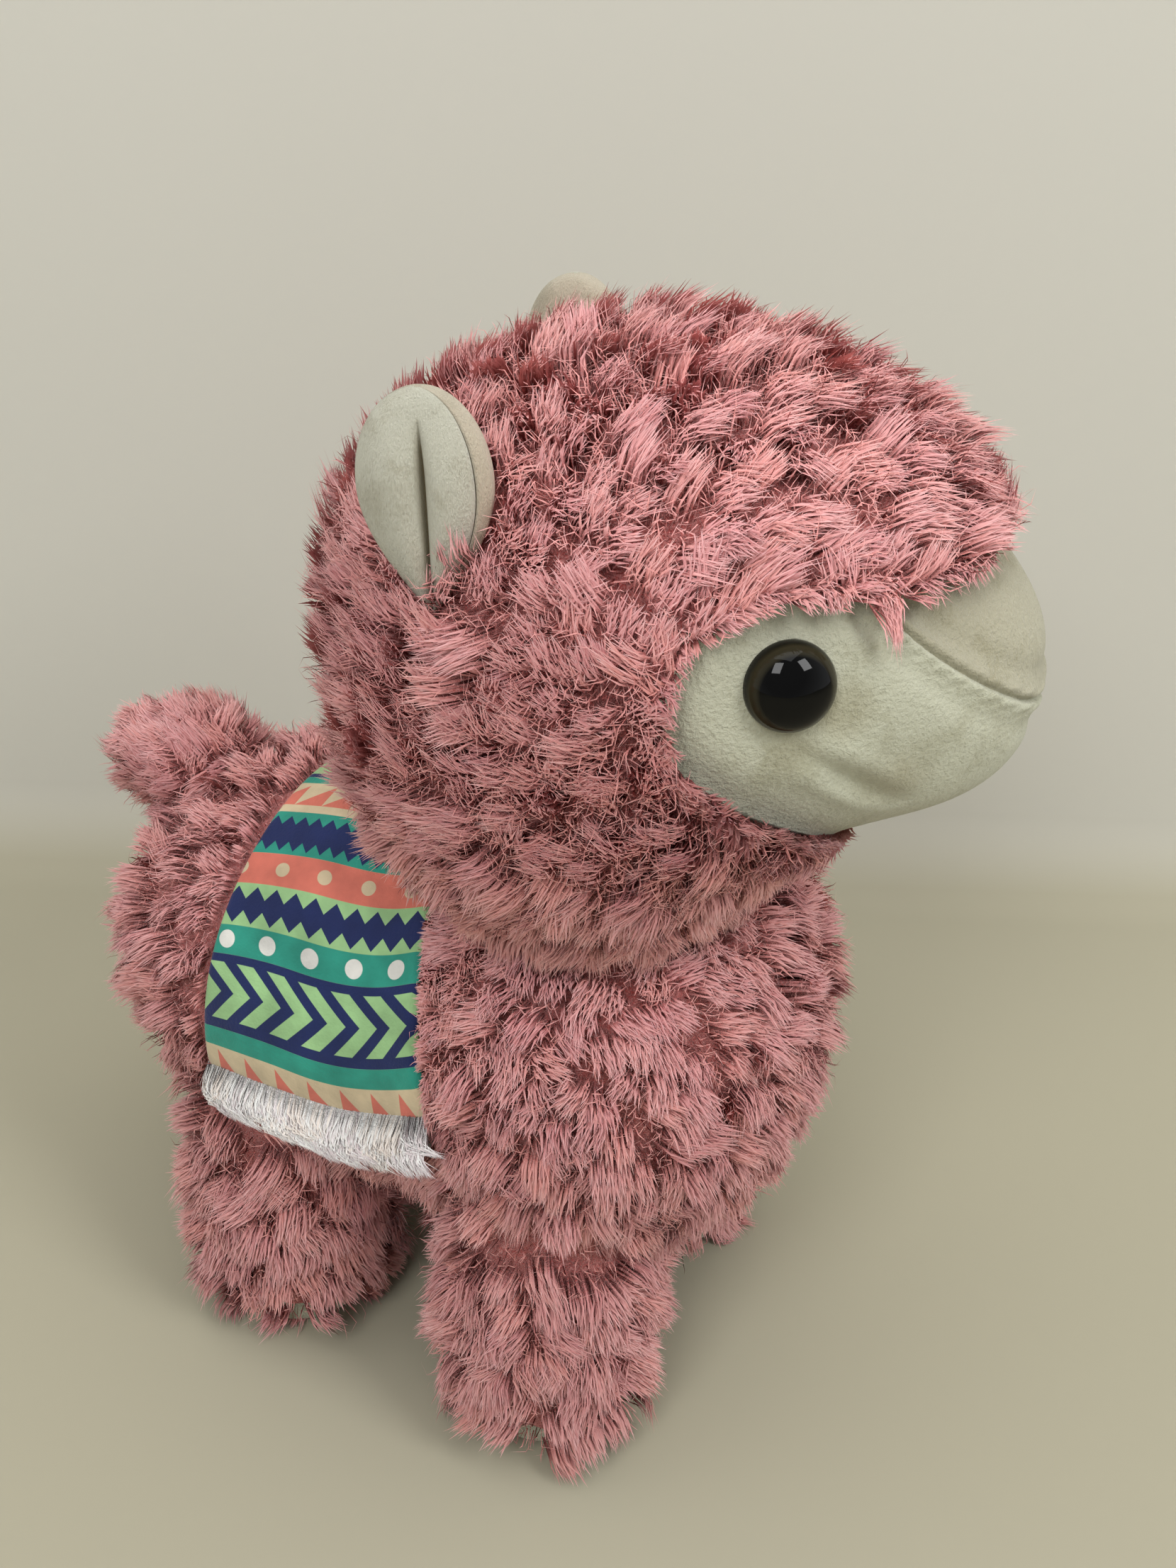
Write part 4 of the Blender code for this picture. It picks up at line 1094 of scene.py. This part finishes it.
tail_way = np.array([0, cos(TAIL_LIFT), sin(TAIL_LIFT)])
tail_place = body_middle + tail_way * reach(body_form, body_middle, tail_way[None])[0]
tail_place = tail_place + (0, TAIL_OUT, TAIL_UP)
tail_strands = joined(
    tufts(tail_form, np.zeros(3), TAIL_TUFTS, TAIL_STRANDS, tail_lie, 0.0080, 0.0036, 0.0032, 51),
    underfur(tail_form, np.zeros(3), TAIL_UNDERFUR, 0.0060, 52))
tail_strands = chosen(tail_strands, body_form(tail_strands[0][:, 0] + tail_place) > -0.004)
pile = ribbons(tail_strands, STRAND_WIDTH, 53)
ground = backing(tail_form, np.zeros(3), -PILE_ROOT,
                 lambda points: body_form(points + tail_place) > -0.010, 3)
tail = new_piece("tail_fur_panel", [(part[0] + tail_place, *part[1:]) for part in (ground, pile)], pink_fur)
stand_in(tail, "tail")

# Saddle blanket
# One strip of printed short-pile velour, hemmed all round and tacked along the spine. It lies
# over the back like a saddle cloth. The print runs in bands across it, the same on both sides.
BLANKET_CLOTH = 0.0022
BLANKET_BED = 0.0050
BLANKET_ROWS, BLANKET_COLUMNS = 60, 180
HEM_ROUND = 0.0016
MARK_EDGE = 0.05
MARK_WIDTH = 0.90
PRINT_SKEW = 6.0
PRINT_SLANT = -0.18
INK_SHARPNESS = 7.0
DOT_SPACING = 12.0
CHEVRON_SPACING = 8.9
VELOUR_PILE = 0.0007
VELOUR_PATCH = 0.009
VELOUR_NAP = 0.0005
NAVY = "#1d2b5e"
TEAL = "#2f9a86"
LIME = "#a3cf92"
CORAL = "#e07b69"
CREAM = "#dcc9a6"
WHITE = "#ecebe4"

blanket_stretch = np.linspace(-hem, hem, BLANKET_COLUMNS)
blanket_shares = np.linspace(1, 0, BLANKET_ROWS)
base_points = girth_points(blanket_stretch, blanket_shares, -BLANKET_BED + BLANKET_CLOTH / 2)
out_way = unit(slope(body_form, base_points.reshape(-1, 3)).reshape(base_points.shape))
from_edge = (1 - np.abs(2 * blanket_shares - 1))[:, None] * BLANKET_WIDTH / 2
from_hem = hem - np.abs(blanket_stretch)[None]
edge_round = np.clip(from_edge / HEM_ROUND, 0, 1) ** 0.5
half_cloth = BLANKET_CLOTH / 2 * (0.35 + 0.65 * edge_round * np.clip(from_hem / HEM_ROUND, 0, 1) ** 0.5)
ripple_random = np.random.default_rng(61)
ripple = np.zeros(base_points.shape[:2])
for _ in range(9):
    waves = ripple_random.normal(0, 1, 2) * (90, 70)
    phase = ripple_random.uniform(0, 2 * pi)
    ripple += np.sin(base_points[..., 1] * waves[0] + blanket_stretch[None] * waves[1] + phase)
puff = 0.0007 * edge_round + ripple * 0.00010
outer = base_points + out_way * (half_cloth + puff)[..., None]
inner = base_points + out_way * (puff - half_cloth)[..., None]
half_share = blanket_stretch / hem
width_there = BLANKET_SPINE_WIDTH + (BLANKET_WIDTH - BLANKET_SPINE_WIDTH) * np.abs(half_share)
blanket_marks = np.stack([np.outer(1 - blanket_shares, width_there / BLANKET_WIDTH) * MARK_WIDTH + MARK_EDGE,
                          np.tile(0.5 + half_share * MARK_WIDTH / 2, (BLANKET_ROWS, 1))], -1)

# Short-pile velour printed with dyes: matt and slightly hazy, with soft patches where the pile leans.
velour, velour_shader = new_material("printed polyester velour",
                                     {"Roughness": 0.75, "Specular IOR Level": 0.3, "Sheen Weight": 0.25,
                                      "Sheen Roughness": 0.4})
velour_mark = add_node(velour, "ShaderNodeUVMap", uv_map="OFBake")
velour_parts = add_node(velour, "ShaderNodeSeparateXYZ", {"Vector": velour_mark})
along_size = BLANKET_WIDTH * 1000 / MARK_WIDTH
down_size = hem * 2000 / MARK_WIDTH

MATH = "ShaderNodeMath"
print_along = add_node(velour, MATH, (velour_parts.outputs["X"], along_size, -MARK_EDGE * along_size),
                       operation="MULTIPLY_ADD")
from_spine = add_node(velour, MATH, (velour_parts.outputs["Y"], down_size, -down_size / 2),
                      operation="MULTIPLY_ADD")
from_spine = add_node(velour, MATH, (from_spine,), operation="ABSOLUTE")
slant = add_node(velour, MATH, (print_along, PRINT_SLANT, PRINT_SKEW), operation="MULTIPLY_ADD")
fading = add_node(velour, MATH, (from_spine, -0.001 / hem, 1.0), operation="MULTIPLY_ADD")
print_down = add_node(velour, MATH, (slant, fading, from_spine), operation="MULTIPLY_ADD")


def off_line(value, line):
    """Distance to either side of a line, in mm."""
    off = add_node(velour, MATH, (value, line), operation="SUBTRACT")
    return add_node(velour, MATH, (off,), operation="ABSOLUTE")


def within(value, low, high):
    """How deep a place lies between two lines, in mm, and below 0 outside them."""
    return add_node(velour, MATH, ((high - low) / 2, off_line(value, (low + high) / 2)), operation="SUBTRACT")


def band(low, high):
    return within(print_down, low, high)


def place_in(period, offset=0.0):
    """Share of the way from one repeat of a pattern to the next."""
    turn = add_node(velour, MATH, (print_along, 1 / period, offset), operation="MULTIPLY_ADD")
    return add_node(velour, MATH, (turn,), operation="FRACT")


def teeth(period, height, base, lean=0.5, offset=0.0):
    """The toothed edge of a band: how far down the print it is at each place along it."""
    turn = place_in(period, offset)
    rise = add_node(velour, MATH, (turn, lean), operation="DIVIDE")
    fall = add_node(velour, MATH, (turn, 1 / (lean - 1), 1 / (1 - lean)), operation="MULTIPLY_ADD")
    tooth = add_node(velour, MATH, (rise, fall), operation="MINIMUM")
    return add_node(velour, MATH, (tooth, height, base), operation="MULTIPLY_ADD")


def zigzag(low, high, period, height):
    return add_node(velour, MATH, (band(low, high), teeth(period, height, -height / 2)), operation="ADD")


def triangles(foot, height, period, lean, offset=0.0):
    """Leaning triangles that stand on a line."""
    edge = teeth(period, -height, foot, lean, offset)
    top = add_node(velour, MATH, (print_down, edge), operation="SUBTRACT")
    base = add_node(velour, MATH, (foot, print_down), operation="SUBTRACT")
    return add_node(velour, MATH, (top, base), operation="MINIMUM")


def spots(middle, radius):
    place = add_node(velour, MATH, (place_in(DOT_SPACING), DOT_SPACING, -DOT_SPACING / 2),
                     operation="MULTIPLY_ADD")
    off = off_line(print_down, middle)
    square = add_node(velour, MATH, (off, off), operation="MULTIPLY")
    square = add_node(velour, MATH, (place, place, square), operation="MULTIPLY_ADD")
    away = add_node(velour, MATH, (square,), operation="SQRT")
    return add_node(velour, MATH, (radius, away), operation="SUBTRACT")


def chevrons(low, high, bend, stroke_low, stroke_high):
    """Arrow strokes that point forward along the blanket."""
    bent = add_node(velour, MATH, (off_line(print_down, bend), -1 / CHEVRON_SPACING), operation="MULTIPLY")
    place = add_node(velour, MATH, (place_in(CHEVRON_SPACING, bent), CHEVRON_SPACING), operation="MULTIPLY")
    stroke = within(place, stroke_low, stroke_high)
    return add_node(velour, MATH, (stroke, band(low, high)), operation="MINIMUM")


drift = add_node(velour, MATH, (print_down, -0.06, 1.0), operation="MULTIPLY_ADD")
print_colour = LIME
for ink, depth in (
        (NAVY, band(2.4, 4.2)), (TEAL, band(4.2, 7.0)), (CREAM, band(7.0, 19.0)),
        (CORAL, triangles(15.8, 7.6, 7.7, 0.2, drift)), (TEAL, band(18.4, 32.0)),
        (NAVY, zigzag(21.3, 29.6, 3.9, 2.8)), (CORAL, band(32.0, 41.0)), (CREAM, spots(36.4, 1.95)),
        (LIME, band(41.0, 52.6)), (NAVY, zigzag(43.6, 50.2, 5.6, 3.4)), (TEAL, band(52.6, 60.4)),
        (WHITE, spots(56.4, 2.4)), (NAVY, band(60.4, 81.4)), (LIME, chevrons(62.6, 78.4, 70.6, 1.8, 6.8)),
        (TEAL, band(81.4, 87.4)), (CREAM, band(87.4, 100.0)), (CORAL, triangles(101.0, 12.5, 8.8, 0.75))):
    covered = add_node(velour, MATH, (depth, INK_SHARPNESS, 0.5), operation="MULTIPLY_ADD", use_clamp=True)
    print_colour = add_node(velour, "ShaderNodeMix", {"Factor": covered, "A": print_colour, "B": ink},
                            data_type="RGBA").outputs["Result"]
velour_place = add_node(velour, "ShaderNodeTexCoord").outputs["Object"]
velour_pile = add_node(velour, "ShaderNodeTexNoise", {"Vector": velour_place, "Scale": 1 / VELOUR_PILE,
                                                      "Detail": 4})
velour_patch = add_node(velour, "ShaderNodeTexNoise", {"Vector": velour_place, "Scale": 1 / VELOUR_PATCH,
                                                       "Detail": 3})
velour_tone = add_node(velour, "ShaderNodeValToRGB", {"Fac": velour_patch},
                       [(0.3, "#d8d8d8"), (0.7, "#ffffff")])
velour_colour = add_node(velour, "ShaderNodeMix", {"Factor": 1.0, "A": print_colour, "B": velour_tone},
                         **MULTIPLIED).outputs["Result"]
finish_surface(velour, velour_shader, velour_colour, velour_pile, 0.35, VELOUR_NAP)
blanket = new_piece("printed_saddle_blanket", [slab_part(outer, inner, blanket_marks)], velour)
stand_in(blanket, "saddle_blanket")

# Blanket trims
# A strip of white faux fur is sewn under each end of the blanket. Its pile is about 12 mm
# long and hangs in wedge-shaped tufts.
TRIM_TUFTS = 34
TRIM_STRANDS = 230
# The white pile's colours go a little greyer toward the roots as painted shade, like the pink pile.
white_fur = fur_material("white polyester faux fur", "#ececea", "#f4f4f2", "#fafaf8", "#ffffff", "#eaeae8")
GRID_ROWS, GRID_COLUMNS = 41, 24
TRIM_LIGHT = (0, 0, 0.6)
grid_shares = np.linspace(-0.05, 1.15, GRID_ROWS)
grid_stretch = np.linspace(hem - 0.003, hem + TRIM_DROP + 0.005, GRID_COLUMNS)
strip_shares = np.linspace(0, 1, GRID_ROWS)
strip_stretch = np.linspace(hem - 0.001, hem + TRIM_DROP * 0.7, 6)


def on_grid(grids, share, stretch, height):
    """Places over a trim at shares along it, stretches down it and heights off the body."""
    row = np.interp(share, grid_shares, np.arange(GRID_ROWS))
    column = np.interp(stretch, grid_stretch, np.arange(GRID_COLUMNS))
    r, c = np.minimum(row.astype(int), GRID_ROWS - 2), np.minimum(column.astype(int), GRID_COLUMNS - 2)
    down, over = (row - r)[:, None], (column - c)[:, None]
    low, high = ((grid[r, c] * (1 - over) + grid[r, c + 1] * over) * (1 - down)
                 + (grid[r + 1, c] * (1 - over) + grid[r + 1, c + 1] * over) * down for grid in grids)
    return low + (high - low) * height[:, None]


def lit(normals):
    """Normals turned up a little, because light comes through the thin white pile from above."""
    return unit(unit(normals) + TRIM_LIGHT)


for side, sign in (("left", 1), ("right", -1)):
    random = np.random.default_rng(71 + sign)
    total = TRIM_TUFTS * TRIM_STRANDS
    owner = np.repeat(np.arange(TRIM_TUFTS), TRIM_STRANDS)
    tuft_share = (np.arange(TRIM_TUFTS) + 0.5 + random.uniform(-0.3, 0.3, TRIM_TUFTS)) / TRIM_TUFTS
    strand_share = np.clip(tuft_share[owner] + random.normal(0, 1.2 / TRIM_TUFTS, total), 0.004, 0.996)
    start = hem - 0.0034 + random.uniform(0, 0.0036, total)
    grids = [girth_points(grid_stretch * sign, grid_shares, height - BLANKET_BED)
             for height in (0.001, 0.008)]
    tip_share = tuft_share + random.uniform(0.03, 0.17, TRIM_TUFTS)
    tip_stretch = hem + TRIM_DROP * random.uniform(0.35, 1.05, TRIM_TUFTS) * (0.8 + 0.4 * tuft_share)
    tip_height = random.uniform(0.5, 1.1, TRIM_TUFTS)
    fan = random.uniform(0.35, 1.0, total)
    stray = random.normal(0, 0.014, total)
    stations = []
    for share in STATION_SHARES:
        t = fan * share
        bent_share = tip_share[owner] + (strand_share - tuft_share[owner]) * 0.5 + stray
        here = strand_share + (bent_share - strand_share) * t ** 1.4
        down = start * (1 - t) + (tip_stretch[owner] + random.normal(0, 0.0006, total)) * t
        height = 0.15 + 3.2 * t * (1 - t) * random.uniform(0.85, 1.1, total) + tip_height[owner] * t ** 2
        stations.append(on_grid(grids, here, down, height))
    stations = np.stack(stations, 1)
    out = unit(slope(body_form, stations[:, 0]))
    tone = np.clip(random.uniform(0, 1, TRIM_TUFTS)[owner] + random.normal(0, 0.2, total), 0, 1)
    pile = ribbons((stations, out, tone, random.uniform(0.7, 1.3, total)), STRAND_WIDTH, 73)
    strip = [girth_points(strip_stretch * sign, strip_shares, height - BLANKET_BED)
             for height in (0.003, 0.001)]
    if sign > 0:
        strip = [face[::-1] for face in strip]
    # The strip under the pile takes the white fur's painted root shade.
    strip = slab_part(*strip, np.tile([0.5, 0.1], (GRID_ROWS, len(strip_stretch), 1)))
    trim = new_piece("blanket_fur_trim_" + side, [(*strip, lit(slope(body_form, strip[0]))),
                                                  (*pile[:3], np.repeat(lit(out), 5, 0))], white_fur)
    stand_in(trim, "blanket_trim_" + side)

# Floor, light and camera
# A plain pale table cloth runs up into a plain pale wall behind the toy. Daylight comes from
# windows above and in front, which show as two small panes in the eyes.
FLOOR = "#a7a28d"
WALL = "#cfcdc2"
WALL_AWAY = 0.17
WALL_CURVE = 0.03
backdrop_paint, backdrop_shader = new_material("plain pale backdrop", {"Roughness": 0.95})
backdrop_place = add_node(backdrop_paint, "ShaderNodeTexCoord").outputs["Object"]
backdrop_parts = add_node(backdrop_paint, "ShaderNodeSeparateXYZ", {"Vector": backdrop_place})
backdrop_tone = add_node(backdrop_paint, "ShaderNodeValToRGB", {"Fac": backdrop_parts.outputs["Z"]},
                         [(0.0, FLOOR), (0.004, FLOOR), (0.03, WALL), (1.0, WALL)])
finish_surface(backdrop_paint, backdrop_shader, backdrop_tone.outputs["Color"])
CAMERA_SIDE = radians(-64)
CAMERA_LIFT = radians(32)
CAMERA_FAR = 0.410
CAMERA_ROLL = radians(2)
camera_target = stand + np.array([0.008, -0.018, 0.163])
back = np.array([sin(CAMERA_SIDE) * cos(CAMERA_LIFT), -cos(CAMERA_SIDE) * cos(CAMERA_LIFT), sin(CAMERA_LIFT)])
sweep_profile = [(-1.6, 0)]
sweep_profile += [(WALL_AWAY + WALL_CURVE * sin(a), WALL_CURVE * (1 - cos(a)))
                  for a in np.radians(range(0, 91, 6))]
sweep_profile += [(WALL_AWAY + WALL_CURVE, 2.2)]
away = np.array([-back[0], -back[1], 0])
away = away / np.linalg.norm(away)
beside = np.array([-away[1], away[0], 0])
sweep_points = np.array([[away * reach_out + beside * wide + (0, 0, up) for reach_out, up in sweep_profile]
                         for wide in (-2.5, 2.5)])
index = np.arange(2 * len(sweep_profile)).reshape(2, -1)
sweep_faces = np.stack([index[0, :-1], index[1, :-1], index[1, 1:], index[0, 1:]], -1)[:, ::-1]
floor = new_piece("floor_sweep", [(sweep_points.reshape(-1, 3), [sweep_faces],
                                   np.zeros((sweep_points.size // 3, 2)))], backdrop_paint)

world = bpy.data.worlds.new("room light")
bpy.context.scene.world = world
world.use_nodes = True
room = world.node_tree.nodes["Background"]
room_way = add_node(world, "ShaderNodeTexCoord").outputs["Generated"]
facing_camera = add_node(world, "ShaderNodeVectorMath", (room_way, back), operation="DOT_PRODUCT")
room_tone = add_node(world, "ShaderNodeValToRGB", {"Fac": facing_camera.outputs["Value"]},
                     [(0.25, "#eef0f2"), (0.8, "#9c9c9d")])
world.node_tree.links.new(room_tone.outputs["Color"], room.inputs["Color"])
room.inputs["Strength"].default_value = 0.92
for name, place, size, power in (("window_left", (-1.10, -0.15, 1.30), (0.48, 0.62), 10),
                                 ("window_right", (-0.28, -1.18, 1.30), (0.48, 0.62), 10.5),
                                 ("ceiling", (0.0, 0.0, 1.8), (1.5, 1.5), 14.5)):
    lamp = bpy.data.lights.new(name, "AREA")
    lamp.shape = "RECTANGLE"
    lamp.size, lamp.size_y = size
    lamp.energy = power
    light = bpy.data.objects.new(name, lamp)
    bpy.context.collection.objects.link(light)
    light.location = place
    light.rotation_euler = (Vector((0, 0, 0.15)) - Vector(place)).to_track_quat("-Z", "Y").to_euler()

camera_data = bpy.data.cameras.new("camera")
camera = bpy.data.objects.new("camera", camera_data)
bpy.context.collection.objects.link(camera)
camera_data.sensor_width = 36
camera_data.lens = 18 / tan(radians(25))
camera_data.clip_start = 0.01
place = camera_target + back * CAMERA_FAR
right = np.cross([0, 0, 1], back)
right = right / np.linalg.norm(right)
up = np.cross(back, right)
tilted_right = right * cos(CAMERA_ROLL) + up * sin(CAMERA_ROLL)
tilted_up = up * cos(CAMERA_ROLL) - right * sin(CAMERA_ROLL)
camera.matrix_world = Matrix([*np.stack([tilted_right, tilted_up, back, place], -1), (0, 0, 0, 1)])
bpy.context.scene.camera = camera
bpy.context.scene.view_settings.view_transform = "Standard"
